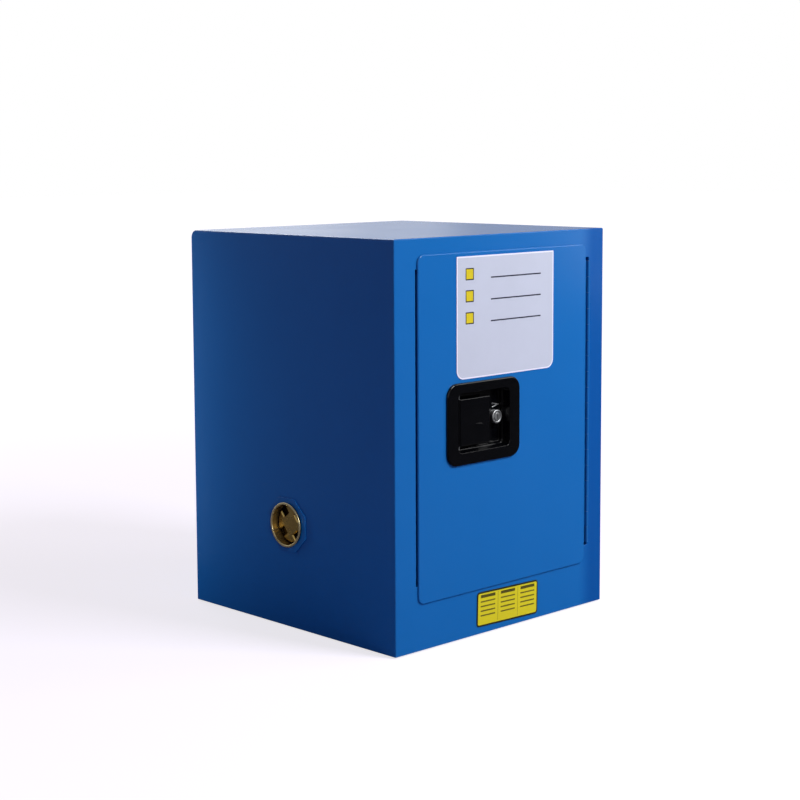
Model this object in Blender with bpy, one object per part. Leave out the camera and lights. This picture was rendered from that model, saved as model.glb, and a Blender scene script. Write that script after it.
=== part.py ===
"""Countertop acid and alkali cabinet: double-wall steel box with one hinged door.

Metres, +Z up. The door faces -Y and the cabinet stands on the plane z = 0.
Left and right are those of a person who faces the door.
"""

import math

import bmesh
import bpy
from mathutils import Matrix, Vector

for old in list(bpy.data.objects):
    bpy.data.objects.remove(old, do_unlink=True)

# Cabinet body
WIDTH = 0.430
DEPTH = 0.430
HEIGHT = 0.560  # from the table to the top, feet included
FOOT_SHOW = 0.002  # the feet stand this far below the sheet metal
SHEET = 0.0012
GAP = 0.0003  # clearance between neighbouring pieces
FOLD_RADIUS = 0.0025
FOLD_STEPS = 4

LEFT, RIGHT = -WIDTH / 2, WIDTH / 2
FRONT, BACK = -DEPTH / 2, DEPTH / 2

# Door opening in the front frame, between two stiles, a sill and a head
STILE_LEFT, STILE_RIGHT = 0.0395, 0.0329
SILL, HEAD = 0.0915, 0.0415  # sill from the table, head from the top
OPEN_LEFT = LEFT + STILE_LEFT
OPEN_RIGHT = RIGHT - STILE_RIGHT
OPEN_LOW = SILL
OPEN_HIGH = HEIGHT - HEAD
RETURN_DEPTH = 0.020  # depth of the folded edge round the opening

# Inner walls and sump
WALL = 0.0307  # double wall, from its outer face to its inner face
ROOF = 0.030  # from the inner top to the outer top
LINER_HALF = RIGHT - WALL
LINER_BACK = BACK - WALL
LINER_LOW = 0.034
LINER_TOP = HEIGHT - ROOF
SUMP_LIFT = 0.006  # the sump's underside above the foot of the inner walls
SUMP_UNDER = 0.0035  # the sump's rim below the opening
SUMP_FLOOR = LINER_LOW + SUMP_LIFT
SUMP_RIM = OPEN_LOW - SUMP_UNDER
BASE_LOW = 0.020

# Piano hinge
BARREL_RADIUS = 0.0024
HINGE_BORE_RADIUS = 0.00135
PIN_RADIUS = 0.00095
HINGE_X = OPEN_RIGHT - BARREL_RADIUS - GAP
HINGE_PROUD = 0.0015  # the pin's axis stands this far in front of the frame
HINGE_Y = FRONT - HINGE_PROUD
LEAF = 0.0009
LEAF_DEPTH = 0.0185
LEAF_CLEAR = 0.0005  # between a leaf and the other leaf's knuckles
HINGE_UNDER, HINGE_OVER = 0.0040, 0.0054  # left open below and above the hinge
HINGE_LOW = OPEN_LOW + HINGE_UNDER
KNUCKLES = 18
KNUCKLE_PITCH = (OPEN_HIGH - HINGE_OVER - HINGE_LOW) / KNUCKLES
BARREL_SIDES = 16

# Door
SLIT_LEFT, SLIT_RIGHT = 0.0022, 0.0076  # from the door skin to the opening's edges
LAP_LOW, LAP_HIGH = 0.0260, 0.0195  # the door skin covers this much of the sill and head
DOOR_LEFT = OPEN_LEFT + SLIT_LEFT
DOOR_RIGHT = OPEN_RIGHT - SLIT_RIGHT
DOOR_LOW = OPEN_LOW - LAP_LOW
DOOR_HIGH = OPEN_HIGH + LAP_HIGH
DOOR_PROUD = 0.0025  # the door skin stands this far in front of the frame
DOOR_CORNER = 0.011
DOOR_LIP = 0.006
DOOR_EDGE = 0.0008
PAN_SWING = 0.0095  # room for the inner pan's latch edge to swing past the frame
PAN_CLEAR = 0.0035  # above and below the inner pan
PAN_DEPTH = 0.0370
PAN_LEFT = OPEN_LEFT + PAN_SWING
PAN_RIGHT = HINGE_X - BARREL_RADIUS - GAP
PAN_LOW = OPEN_LOW + PAN_CLEAR
PAN_HIGH = OPEN_HIGH - PAN_CLEAR
PAN_BACK = FRONT + PAN_DEPTH
PAN_EDGE = 0.003

# Recessed paddle latch, placed from the door's lower left corner
BEZEL_IN, BEZEL_UP = 0.0533, 0.1810
BEZEL_WIDE, BEZEL_TALL = 0.1460, 0.1135
BEZEL_LEFT, BEZEL_LOW = DOOR_LEFT + BEZEL_IN, DOOR_LOW + BEZEL_UP
BEZEL_RIGHT, BEZEL_HIGH = BEZEL_LEFT + BEZEL_WIDE, BEZEL_LOW + BEZEL_TALL
BEZEL_CORNER = 0.018
BEZEL_PROUD = 0.0035
BEZEL_ROUND = 0.0025
BEZEL_FRONT = FRONT - DOOR_PROUD - GAP - BEZEL_PROUD
RIM_LEFT, RIM_RIGHT = 0.0205, 0.0215  # widths of the flat rim round the dish
RIM_LOW, RIM_HIGH = 0.0170, 0.0140
DISH_LEFT, DISH_RIGHT = BEZEL_LEFT + RIM_LEFT, BEZEL_RIGHT - RIM_RIGHT
DISH_LOW, DISH_HIGH = BEZEL_LOW + RIM_LOW, BEZEL_HIGH - RIM_HIGH
DISH_CORNER = 0.008
DISH_DRAFT = 0.005  # how far the dish narrows on each side down to its floor
DISH_WALL = 0.0015
DISH_DEEP = 0.0183
DISH_FLOOR_Y = BEZEL_FRONT + DISH_DEEP

LOCK_ROOM = 0.0335  # left free beside the paddle for the key lock
PADDLE_UNDER, PADDLE_OVER = 0.0080, 0.0095
PADDLE_RIGHT = DISH_RIGHT - LOCK_ROOM
PADDLE_LOW, PADDLE_HIGH = DISH_LOW + PADDLE_UNDER, DISH_HIGH - PADDLE_OVER
PADDLE_SUNK = 0.0068  # the paddle's face stands this far behind the bezel's
PADDLE_FRONT = BEZEL_FRONT + PADDLE_SUNK
PADDLE_THICK = 0.004
PADDLE_CUT_X, PADDLE_CUT_Z = 0.012, 0.007  # the slanted corner beside the lock
AXIS_IN, AXIS_BEHIND = 0.0115, 0.0035  # pin's axis from the dish's edge and the paddle's face
PADDLE_AXIS_X = DISH_LEFT + AXIS_IN
PADDLE_AXIS_Y = PADDLE_FRONT + AXIS_BEHIND
PADDLE_EYE_RADIUS = 0.0030
PADDLE_BORE_RADIUS = 0.0014
PADDLE_PIN_RADIUS = 0.0010
THUMB_WIDE, THUMB_TALL, THUMB_DEEP = 0.024, 0.026, 0.0012
THUMB_IN, THUMB_UP = 0.0270, 0.0155
THUMB_X, THUMB_Z = PADDLE_RIGHT - THUMB_IN, PADDLE_LOW + THUMB_UP

BOLT_SHY = 0.003  # the bolt's tip stands this far short of the frame's edge
BOLT_PAST = 0.0385  # the bolt runs on this far beyond the paddle's axis
BOLT_BEHIND = 0.008  # from the dish's floor to the bolt
BOLT_TIP, BOLT_END = OPEN_LEFT + BOLT_SHY, PADDLE_AXIS_X + BOLT_PAST
BOLT_TALL, BOLT_THICK = 0.020, 0.004
BOLT_FRONT = DISH_FLOOR_Y + BOLT_BEHIND
BOLT_BACK = BOLT_FRONT + BOLT_THICK
BOLT_CLEAR = 0.0006
BOLT_NOSE = 0.006
WINDOW_BEFORE, WINDOW_AFTER = 0.0033, 0.0038
WINDOW_LEFT, WINDOW_RIGHT = PADDLE_AXIS_X - WINDOW_BEFORE, PADDLE_AXIS_X + WINDOW_AFTER
WINDOW_TALL = 0.010
GUIDE_IN, GUIDE_LONG = 0.011, 0.010
GUIDE_LEFT = PAN_LEFT + GUIDE_IN
GUIDE_RIGHT = GUIDE_LEFT + GUIDE_LONG
GUIDE_WALL = 0.0025
TAB_THICK, TAB_TALL = 0.004, 0.008
TAB_UP = 0.0305
TAB_Z = PADDLE_LOW + TAB_UP
TAB_PAST = 0.0005  # the tab's end stands this far behind the bolt
TAB_REACH = BOLT_BACK + TAB_PAST - PADDLE_AXIS_Y
TAB_SLOT_BEFORE, TAB_SLOT_AFTER = 0.0035, 0.0095
TAB_SLOT_LEFT, TAB_SLOT_RIGHT = PADDLE_AXIS_X - TAB_SLOT_BEFORE, PADDLE_AXIS_X + TAB_SLOT_AFTER
TAB_SLOT_TALL = 0.011

# Key lock
LOCK_IN, LOCK_UP = 0.0158, 0.0409
LOCK_X, LOCK_Z = DISH_RIGHT - LOCK_IN, DISH_LOW + LOCK_UP
LOCK_STAND = 0.009  # the lock's face stands this far in front of the dish's floor
LOCK_FRONT = DISH_FLOOR_Y - LOCK_STAND
LOCK_HEAD_RADIUS = 0.0098
LOCK_BODY_RADIUS = 0.0080
LOCK_BODY_LONG = 0.006  # behind the dish's floor
LOCK_BODY_BACK = DISH_FLOOR_Y + LOCK_BODY_LONG
LOCK_BORE_RADIUS = 0.0066
LOCK_ROUND = 0.0012
PLUG_RADIUS = 0.0061
PLUG_PROUD = 0.0005
TAIL_RADIUS = 0.0030
TAIL_LONG = 0.007
TAIL_BACK = LOCK_BODY_BACK + TAIL_LONG
KEYWAY_WIDE, KEYWAY_TALL, KEYWAY_DEEP = 0.0018, 0.0076, 0.0050
CAM_CLEAR, CAM_THICK = 0.0008, 0.0034
CAM_FRONT = LOCK_BODY_BACK + CAM_CLEAR
CAM_BACK = CAM_FRONT + CAM_THICK
CAM_BORE_RADIUS = 0.0034
CAM_HUB_RADIUS = 0.0060
CAM_TIP_RADIUS = 0.0040
CAM_LENGTH = 0.0320

# Blank plates
SIGN_FROM_LEFT, SIGN_FROM_RIGHT = 0.0733, 0.0750
SIGN_OVER, SIGN_UNDER = 0.0045, 0.0060  # above the bezel, and below the door's top
SIGN_LEFT, SIGN_RIGHT = DOOR_LEFT + SIGN_FROM_LEFT, DOOR_RIGHT - SIGN_FROM_RIGHT
SIGN_LOW, SIGN_HIGH = BEZEL_HIGH + SIGN_OVER, DOOR_HIGH - SIGN_UNDER
SIGN_TOP_CORNER, SIGN_LOW_CORNER = 0.0010, 0.0130
PLATE_THICK = 0.0005
FORM_X, FORM_Z = 0.0085, 0.0350
FORM_WIDE, FORM_TALL = 0.128, 0.0495
FORM_CORNER = 0.0030
FORM_TILT = math.radians(1.5)  # the plate is stuck on slightly askew

# Vents in the side walls
VENT_Y = 0.0023
VENT_LEFT_Z = 0.1494
VENT_RIGHT_DOWN = 0.1200  # from the top to the right-hand vent's axis
VENT_RIGHT_Z = HEIGHT - VENT_RIGHT_DOWN
VENT_SIDES = 48
FLANGE_SIDES = 8
FLANGE_RADIUS = 0.0415
FLANGE_THICK = 0.0015
FLANGE_EDGE = 0.0006
NECK_OUTER, NECK_INNER = 0.0318, 0.0302
NECK_LENGTH = 0.014
SHELL_HOLE = 0.0323
TUBE_INNER, TUBE_OUTER = 0.0324, 0.0336
SCREEN_RADIUS, SCREEN_THICK = 0.0318, 0.0015
LINER_HOLE = 0.0295
SEAL_INNER, SEAL_OUTER, SEAL_THICK = 0.0302, 0.0312, 0.0015
CAP_RADIUS, CAP_FLANGE = 0.0320, 0.0015
CAP_BODY, CAP_BORE = 0.0297, 0.0288
CAP_LENGTH = 0.0170
CAP_FLOOR = 0.0015
CAP_DISC_RADIUS, CAP_DISC_RISE = 0.0255, 0.0065
CAP_NOTCHES = 4
CAP_NOTCH_WIDE, CAP_NOTCH_REACH = 0.0110, 0.0160
CAP_NOTCH_TURN = math.radians(45)

# Shelf and its fittings
SHELF_CLEAR = 0.0031  # from the shelf's sides to the inner walls
SHELF_HALF = LINER_HALF - SHELF_CLEAR
SHELF_BEHIND, SHELF_SHY = 0.0100, 0.0043  # behind the door, and short of the back wall
SHELF_FRONT, SHELF_BACK = PAN_BACK + SHELF_BEHIND, LINER_BACK - SHELF_SHY
STANDARD_WIDE, STANDARD_THICK = 0.016, 0.002
SLOT_PITCH, SLOT_WIDE, SLOT_TALL = 0.025, 0.004, 0.010
STANDARD_UP = 0.0195
STANDARD_LOW = SUMP_RIM + STANDARD_UP
STANDARD_SLOTS = int((LINER_TOP - STANDARD_LOW) / SLOT_PITCH) - 1
STANDARD_IN = (0.018, 0.045)  # from the shelf's front and back edges
STANDARD_YS = (SHELF_FRONT + STANDARD_IN[0], SHELF_BACK - STANDARD_IN[1])
SHELF_SLOT = 8  # the slot, counted from below, that the clips hook into
SHELF_DROP = 0.0055  # the shelf's underside below that slot's middle
SHELF_LOW = STANDARD_LOW + SHELF_SLOT * SLOT_PITCH - SHELF_DROP
SHELF_TALL = 0.020
SHELF_LIP = 0.008
CLIP_WIDE, CLIP_REACH, CLIP_DROP, CLIP_THICK = 0.012, 0.012, 0.0165, 0.0015
TRAY_IN = (0.0132, 0.0130, 0.0150)  # from the shelf's sides, front and back
TRAY_HALF = SHELF_HALF - TRAY_IN[0]
TRAY_FRONT, TRAY_BACK = SHELF_FRONT + TRAY_IN[1], SHELF_BACK - TRAY_IN[2]
TRAY_TALL, TRAY_WALL, TRAY_CORNER, TRAY_RIM = 0.038, 0.003, 0.020, 0.006

# Levelling feet
FOOT_INSET = 0.045  # from the cabinet's sides to a foot's axis
FOOT_X, FOOT_Y = RIGHT - FOOT_INSET, BACK - FOOT_INSET
PAD_RADIUS, PAD_TALL, PAD_EDGE = 0.016, 0.006, 0.0015
COLLAR_RADIUS = 0.009
STUD_RADIUS, STUD_TOP = 0.0040, 0.0365
NUT_RADIUS, NUT_TALL, NUT_BORE = 0.0075, 0.0065, 0.0044
NUT_SIDES = 6
STUD_HOLE = 0.0048
FOOT_SIDES = 24

CORNER_STEPS = 5
SHARP = math.radians(30)


def srgb(code):
    """Linear colour of a six-digit hex code."""
    parts = [int(code[i:i + 2], 16) / 255 for i in (0, 2, 4)]
    return [c / 12.92 if c <= 0.04045 else ((c + 0.055) / 1.055) ** 2.4 for c in parts]


# finish: colour, roughness, metallic
FINISHES = {
    "blue powder coat": ("1F69B7", 0.38, 0.0),
    "painted hinge steel": ("1C62AE", 0.42, 0.0),
    "zinc plated steel": ("B9BCC0", 0.35, 1.0),
    "galvanised steel": ("A9AEB2", 0.45, 1.0),
    "black coated zinc casting": ("141416", 0.35, 0.0),
    "chrome plated zinc": ("C9CBCE", 0.18, 1.0),
    "yellow passivated zinc": ("A98F4A", 0.30, 1.0),
    "black nitrile rubber": ("1B1B1C", 0.70, 0.0),
    "stainless wire cloth": ("9A9DA1", 0.40, 1.0),
    "white coated film": ("DDDDEC", 0.45, 0.0),
    "yellow coated film": ("E8E31C", 0.45, 0.0),
    "white polyethylene": ("E9ECEC", 0.50, 0.0),
}


def finish(node, kind):
    """Give a node its own material of one of the finishes."""
    colour, roughness, metallic = FINISHES[kind]
    mat = bpy.data.materials.new(node.name + " " + kind)
    mat.use_nodes = True
    shader = mat.node_tree.nodes["Principled BSDF"]
    shader.inputs["Base Color"].default_value = srgb(colour) + [1.0]
    shader.inputs["Roughness"].default_value = roughness
    shader.inputs["Metallic"].default_value = metallic
    mat.diffuse_color = srgb(colour) + [1.0]
    node.data.materials.append(mat)


def body(name, points, faces, kind=None, pivot=(0, 0, 0)):
    """A mesh object with outward faces and its origin at the pivot."""
    mesh = bpy.data.meshes.new(name)
    bm = bmesh.new()
    verts = [bm.verts.new(Vector(p) - Vector(pivot)) for p in points]
    for face in faces:
        bm.faces.new([verts[i] for i in face])
    bmesh.ops.recalc_face_normals(bm, faces=bm.faces)
    bm.to_mesh(mesh)
    bm.free()
    node = bpy.data.objects.new(name, mesh)
    node.location = pivot
    bpy.context.collection.objects.link(node)
    if kind:
        finish(node, kind)
        smooth(node)
    return node


def smooth(node):
    """Smooth shading that breaks at folds and edges."""
    node.data.shade_smooth()
    node.data.set_sharp_from_angle(angle=SHARP)


def loft(loops, ring=False):
    """Points and faces of a skin over matching loops, capped unless it is a ring."""
    count = len(loops[0])
    points = [p for loop in loops for p in loop]
    faces = []
    for i in range(len(loops) if ring else len(loops) - 1):
        a, b = i * count, (i + 1) % len(loops) * count
        for j in range(count):
            k = (j + 1) % count
            faces.append((a + j, a + k, b + k, b + j))
    if not ring:
        faces.append(tuple(range(count)))
        faces.append(tuple(range(len(points) - count, len(points))))
    return points, faces


def outline(u0, u1, v0, v1, radius=0.0, low_radius=None, steps=CORNER_STEPS):
    """Rectangle with rounded corners, as (u, v) points that run anticlockwise."""
    low = radius if low_radius is None else low_radius
    points = []
    corners = ((u1, v0, -1, 1, low), (u1, v1, -1, -1, radius),
               (u0, v1, 1, -1, radius), (u0, v0, 1, 1, low))
    for quarter, (u, v, du, dv, r) in enumerate(corners):
        for step in range(steps + 1 if r else 1):
            angle = (quarter - 1 + step / steps) * math.pi / 2
            points.append((u + du * r + r * math.cos(angle),
                           v + dv * r + r * math.sin(angle)))
    return points


def circle(radius, count, u=0.0, v=0.0, start=0.0):
    """Points of a circle about (u, v)."""
    turns = [start + 2 * math.pi * i / count for i in range(count)]
    return [(u + radius * math.cos(t), v + radius * math.sin(t)) for t in turns]


def on_x(points, x):
    """(u, v) points laid in the plane across X, as y and z."""
    return [(x, u, v) for u, v in points]


def on_y(points, y):
    """(u, v) points laid in the plane across Y, as x and z."""
    return [(u, y, v) for u, v in points]


def on_z(points, z):
    """(u, v) points laid in the plane across Z, as x and y."""
    return [(u, v, z) for u, v in points]


def block(name, x, y, z, kind=None, pivot=(0, 0, 0)):
    """A box from three pairs of limits."""
    rectangle = outline(x[0], x[1], y[0], y[1])
    return body(name, *loft([on_z(rectangle, h) for h in z]), kind, pivot)


def boolean(node, tool, operation):
    """Apply one boolean step and remove the tool."""
    step = node.modifiers.new("step", "BOOLEAN")
    step.operation = operation
    step.solver = "EXACT"
    step.object = tool
    bpy.context.view_layer.update()
    graph = bpy.context.evaluated_depsgraph_get()
    mesh = bpy.data.meshes.new_from_object(node.evaluated_get(graph))
    node.modifiers.clear()
    node.data = mesh
    bpy.data.objects.remove(tool, do_unlink=True)
    smooth(node)


def drum(name, axis, centre, profile, count=BARREL_SIDES, kind=None, pivot=(0, 0, 0), ring=False):
    """A turned piece: (radius, place along the axis) pairs swept round an axis."""
    lay = {"x": on_x, "y": on_y, "z": on_z}[axis]
    loops = [lay(circle(r, count, *centre), place) for r, place in profile]
    return body(name, *loft(loops, ring), kind, pivot)


def lattice(name, us, vs, holes, low, high, lay, kind=None, pivot=(0, 0, 0)):
    """A flat plate on a grid of lines, with the listed cells left open."""
    cells = {(i, j) for i in range(len(us) - 1) for j in range(len(vs) - 1)} - set(holes)
    corners, faces = {}, []

    def corner(i, j, side):
        return corners.setdefault((i, j, side), len(corners))

    for i, j in sorted(cells):
        square = [(i, j), (i + 1, j), (i + 1, j + 1), (i, j + 1)]
        faces.append(tuple(corner(a, b, 0) for a, b in square))
        faces.append(tuple(corner(a, b, 1) for a, b in reversed(square)))
        beyond = ((i, j - 1), (i + 1, j), (i, j + 1), (i - 1, j))
        for side, neighbour in enumerate(beyond):
            if neighbour not in cells:
                (a, b), (c, d) = square[side], square[(side + 1) % 4]
                faces.append((corner(a, b, 0), corner(a, b, 1), corner(c, d, 1), corner(c, d, 0)))
    points = [lay([(us[i], vs[j])], (low, high)[side])[0] for i, j, side in corners]
    return body(name, points, faces, kind, pivot)


# Outer wrap: left side, top and right side folded from one sheet
def wrap_outline(inset):
    """U-shaped line round the left side, top and right side."""
    return outline(LEFT + inset, RIGHT - inset, FOOT_SHOW, HEIGHT - inset, FOLD_RADIUS - inset, 0, FOLD_STEPS)


wrap_line = wrap_outline(0) + wrap_outline(SHEET)[::-1]
wrap_front = FRONT + SHEET + GAP
outer_wrap = body("outer_wrap", *loft([on_y(wrap_line, wrap_front), on_y(wrap_line, BACK)]), "blue powder coat")
for side, height in ((-1, VENT_LEFT_Z), (1, VENT_RIGHT_Z)):
    hole_ends = [(SHELL_HOLE, side * (WIDTH / 2 - 2 * SHEET)), (SHELL_HOLE, side * (WIDTH / 2 + SHEET))]
    boolean(outer_wrap, drum("hole", "x", (VENT_Y, height), hole_ends, VENT_SIDES), "DIFFERENCE")

inside = WIDTH / 2 - SHEET - GAP
back_line = wrap_outline(SHEET + GAP)
back_panel = body("back_panel", *loft([on_y(back_line, BACK - SHEET), on_y(back_line, BACK)]), "blue powder coat")

# Front frame: flat sheet whose edges turn back round the door opening
frame_edge = outline(LEFT, RIGHT, FOOT_SHOW, HEIGHT)
frame_hole = outline(OPEN_LEFT, OPEN_RIGHT, OPEN_LOW, OPEN_HIGH)
frame_return = outline(OPEN_LEFT - SHEET, OPEN_RIGHT + SHEET, OPEN_LOW - SHEET, OPEN_HIGH + SHEET)
return_end = FRONT + RETURN_DEPTH
front_frame = body("front_frame", *loft([
    on_y(frame_edge, FRONT),
    on_y(frame_hole, FRONT),
    on_y(frame_hole, return_end),
    on_y(frame_return, return_end),
    on_y(frame_return, FRONT + SHEET),
    on_y(frame_edge, FRONT + SHEET),
], ring=True), "blue powder coat")

base_panel = block("base_panel", (-inside, inside), (wrap_front, BACK - SHEET - GAP),
                   (BASE_LOW, BASE_LOW + SHEET), "blue powder coat")
foot_places = [(x * FOOT_X, y * FOOT_Y) for y in (-1, 1) for x in (-1, 1)]
for place in foot_places:
    hole_ends = [(STUD_HOLE, BASE_LOW - SHEET), (STUD_HOLE, BASE_LOW + 2 * SHEET)]
    boolean(base_panel, drum("hole", "z", place, hole_ends), "DIFFERENCE")

# Liner: left, back and right inner walls folded from one sheet, and a flat top
liner_out = LINER_HALF + SHEET
liner_line = [
    (-liner_out, wrap_front), (-LINER_HALF, wrap_front), (-LINER_HALF, LINER_BACK),
    (LINER_HALF, LINER_BACK), (LINER_HALF, wrap_front), (liner_out, wrap_front),
    (liner_out, LINER_BACK + SHEET), (-liner_out, LINER_BACK + SHEET),
]
liner_heights = (LINER_LOW, LINER_TOP - GAP)
liner_wrap = body("liner_wrap", *loft([on_z(liner_line, z) for z in liner_heights]), "blue powder coat")
for side, height in ((-1, VENT_LEFT_Z), (1, VENT_RIGHT_Z)):
    hole_ends = [(LINER_HOLE, side * (LINER_HALF - SHEET)), (LINER_HOLE, side * (liner_out + SHEET))]
    boolean(liner_wrap, drum("hole", "x", (VENT_Y, height), hole_ends, VENT_SIDES), "DIFFERENCE")
liner_top = block("liner_top", (-liner_out, liner_out), (wrap_front, LINER_BACK + SHEET),
                  (LINER_TOP, LINER_TOP + SHEET), "blue powder coat")

# Sump: open pan that holds a spill below the door sill
sump_half = LINER_HALF - GAP
sump_front = return_end + GAP
sump_out = outline(-sump_half, sump_half, sump_front, LINER_BACK - GAP)
sump_in = outline(-sump_half + SHEET, sump_half - SHEET, sump_front + SHEET, LINER_BACK - GAP - SHEET)
sump_pan = body("sump_pan", *loft([
    on_z(sump_out, SUMP_FLOOR),
    on_z(sump_out, SUMP_RIM),
    on_z(sump_in, SUMP_RIM),
    on_z(sump_in, SUMP_FLOOR + SHEET),
]), "blue powder coat")


# Piano hinge: two leaves whose knuckles take turns along one pin
def hinge_leaf(name, side, first, pivot=(0, 0, 0)):
    """One leaf on the given side of the pin, with every second knuckle."""
    strip = sorted((HINGE_X + side * BARREL_RADIUS, HINGE_X + side * (BARREL_RADIUS - LEAF)))
    clear = HINGE_Y + BARREL_RADIUS + LEAF_CLEAR
    rows = [HINGE_LOW + i * KNUCKLE_PITCH for i in range(KNUCKLES + 1)]
    own = range(first, KNUCKLES, 2)
    lines = [rows[0]]
    for i in range(KNUCKLES):
        ends = (rows[i] + GAP / 2, rows[i + 1] - GAP / 2)
        lines += ends if i in own else ()
    lines.append(rows[-1])
    open_cells = [(0, j) for j in range(len(lines) - 1)
                  if not any(abs((lines[j] + lines[j + 1]) / 2 - rows[i] - KNUCKLE_PITCH / 2) < GAP for i in own)]
    leaf = lattice(name, [HINGE_Y, clear, HINGE_Y + LEAF_DEPTH], lines, open_cells,
                   *strip, on_x, pivot=pivot)
    for i in own:
        ends = (rows[i] + GAP / 2, rows[i + 1] - GAP / 2)
        profile = [(BARREL_RADIUS, ends[0]), (BARREL_RADIUS, ends[1]),
                   (HINGE_BORE_RADIUS, ends[1]), (HINGE_BORE_RADIUS, ends[0])]
        knuckle = drum("knuckle", "z", (HINGE_X, HINGE_Y), profile, ring=True)
        boolean(leaf, knuckle, "UNION")
    finish(leaf, "painted hinge steel")
    smooth(leaf)
    return leaf


door_pivot = (HINGE_X, HINGE_Y, HINGE_LOW)
hinge_top = HINGE_LOW + KNUCKLES * KNUCKLE_PITCH
hinge_frame_leaf = hinge_leaf("hinge_frame_leaf", 1, 0)
hinge_door_leaf = hinge_leaf("hinge_door_leaf", -1, 1, door_pivot)
hinge_pin = drum("hinge_pin", "z", (HINGE_X, HINGE_Y),
                 [(PIN_RADIUS, HINGE_LOW), (PIN_RADIUS, hinge_top)], kind="zinc plated steel")

# Door skin: front sheet with a shallow folded rim and a cut-out for the latch
skin_front = FRONT - DOOR_PROUD
skin_back = FRONT - GAP
skin_edges = (DOOR_LEFT, DOOR_RIGHT, DOOR_LOW, DOOR_HIGH)


def inset_outline(edges, inset, radius, low_radius=None):
    """Rounded outline moved inwards, its corners sharing their centres."""
    u0, u1, v0, v1 = edges
    low = radius if low_radius is None else low_radius
    return outline(u0 + inset, u1 - inset, v0 + inset, v1 - inset,
                   max(radius - inset, GAP), max(low - inset, GAP))


door_skin = body("door_skin", *loft([
    on_y(inset_outline(skin_edges, DOOR_EDGE, DOOR_CORNER), skin_front),
    on_y(inset_outline(skin_edges, DOOR_EDGE / 4, DOOR_CORNER), skin_front + DOOR_EDGE / 4),
    on_y(inset_outline(skin_edges, 0, DOOR_CORNER), skin_front + DOOR_EDGE),
    on_y(inset_outline(skin_edges, 0, DOOR_CORNER), skin_back),
    on_y(inset_outline(skin_edges, DOOR_LIP, DOOR_CORNER), skin_back),
    on_y(inset_outline(skin_edges, DOOR_LIP, DOOR_CORNER), skin_front + SHEET),
]), "blue powder coat", door_pivot)

dish_edges = (DISH_LEFT, DISH_RIGHT, DISH_LOW, DISH_HIGH)
cut_line = inset_outline(dish_edges, -DISH_WALL - GAP, DISH_CORNER)
latch_cut = body("cut", *loft([on_y(cut_line, skin_front - SHEET), on_y(cut_line, skin_back + SHEET)]))
boolean(door_skin, latch_cut, "DIFFERENCE")

# Door inner pan: the box behind the skin that fills the opening
pan_edges = (PAN_LEFT, PAN_RIGHT, PAN_LOW, PAN_HIGH)
pan_front = FRONT
door_inner_pan = body("door_inner_pan", *loft([
    on_y(inset_outline(pan_edges, SHEET, PAN_EDGE), PAN_BACK - SHEET),
    on_y(inset_outline(pan_edges, SHEET, PAN_EDGE), pan_front),
    on_y(inset_outline(pan_edges, 0, PAN_EDGE), pan_front),
    on_y(inset_outline(pan_edges, 0, PAN_EDGE), PAN_BACK - PAN_EDGE),
    on_y(inset_outline(pan_edges, PAN_EDGE, 2 * PAN_EDGE), PAN_BACK),
]), "blue powder coat", door_pivot)
bolt_low, bolt_high = TAB_Z - BOLT_TALL / 2, TAB_Z + BOLT_TALL / 2
boolean(door_inner_pan, block("slot", (PAN_LEFT - SHEET, PAN_LEFT + 2 * SHEET),
                              (BOLT_FRONT - BOLT_CLEAR, BOLT_BACK + BOLT_CLEAR),
                              (bolt_low - BOLT_CLEAR, bolt_high + BOLT_CLEAR)), "DIFFERENCE")

# Latch pan: moulded bezel with a dish for the fingers
bezel_edges = (BEZEL_LEFT, BEZEL_RIGHT, BEZEL_LOW, BEZEL_HIGH)
bezel_back = BEZEL_FRONT + BEZEL_PROUD
dish_back = DISH_FLOOR_Y + DISH_WALL


def dish_loop(inset, y):
    """Outline of the dish wall, which narrows towards its floor."""
    depth = max(y - BEZEL_FRONT, 0) / (DISH_FLOOR_Y - BEZEL_FRONT)
    return on_y(inset_outline(dish_edges, inset + DISH_DRAFT * depth, DISH_CORNER), y)


def rounded_loops(loop, start, end, steps=3):
    """Loops that turn a square edge into a rounded one."""
    turns = [math.pi / 2 * i / steps for i in range(steps + 1)]
    return [loop(start * (1 - math.cos(t)), end * (1 - math.sin(t))) for t in turns]


latch_loops = [dish_loop(-DISH_WALL, dish_back), dish_loop(-DISH_WALL, bezel_back)]
latch_loops.append(on_y(inset_outline(bezel_edges, 0, BEZEL_CORNER), bezel_back))
latch_loops += rounded_loops(
    lambda inset, rise: on_y(inset_outline(bezel_edges, inset, BEZEL_CORNER), BEZEL_FRONT + rise),
    BEZEL_ROUND, BEZEL_ROUND)
latch_loops += rounded_loops(
    lambda inset, rise: dish_loop(inset - BEZEL_ROUND, BEZEL_FRONT + BEZEL_ROUND - rise),
    BEZEL_ROUND, BEZEL_ROUND)
latch_loops.append(dish_loop(0, DISH_FLOOR_Y - DISH_WALL))
latch_loops.append(dish_loop(DISH_WALL, DISH_FLOOR_Y))
latch_pan = body("latch_pan", *loft(latch_loops), "black coated zinc casting", door_pivot)
through = (DISH_FLOOR_Y - DISH_WALL, dish_back + DISH_WALL)
boolean(latch_pan, block("slot", (TAB_SLOT_LEFT, TAB_SLOT_RIGHT), through,
                         (TAB_Z - TAB_SLOT_TALL / 2, TAB_Z + TAB_SLOT_TALL / 2)), "DIFFERENCE")
boolean(latch_pan, drum("hole", "y", (LOCK_X, LOCK_Z),
                        [(LOCK_BODY_RADIUS + GAP, y) for y in through], FOOT_SIDES), "DIFFERENCE")

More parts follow.
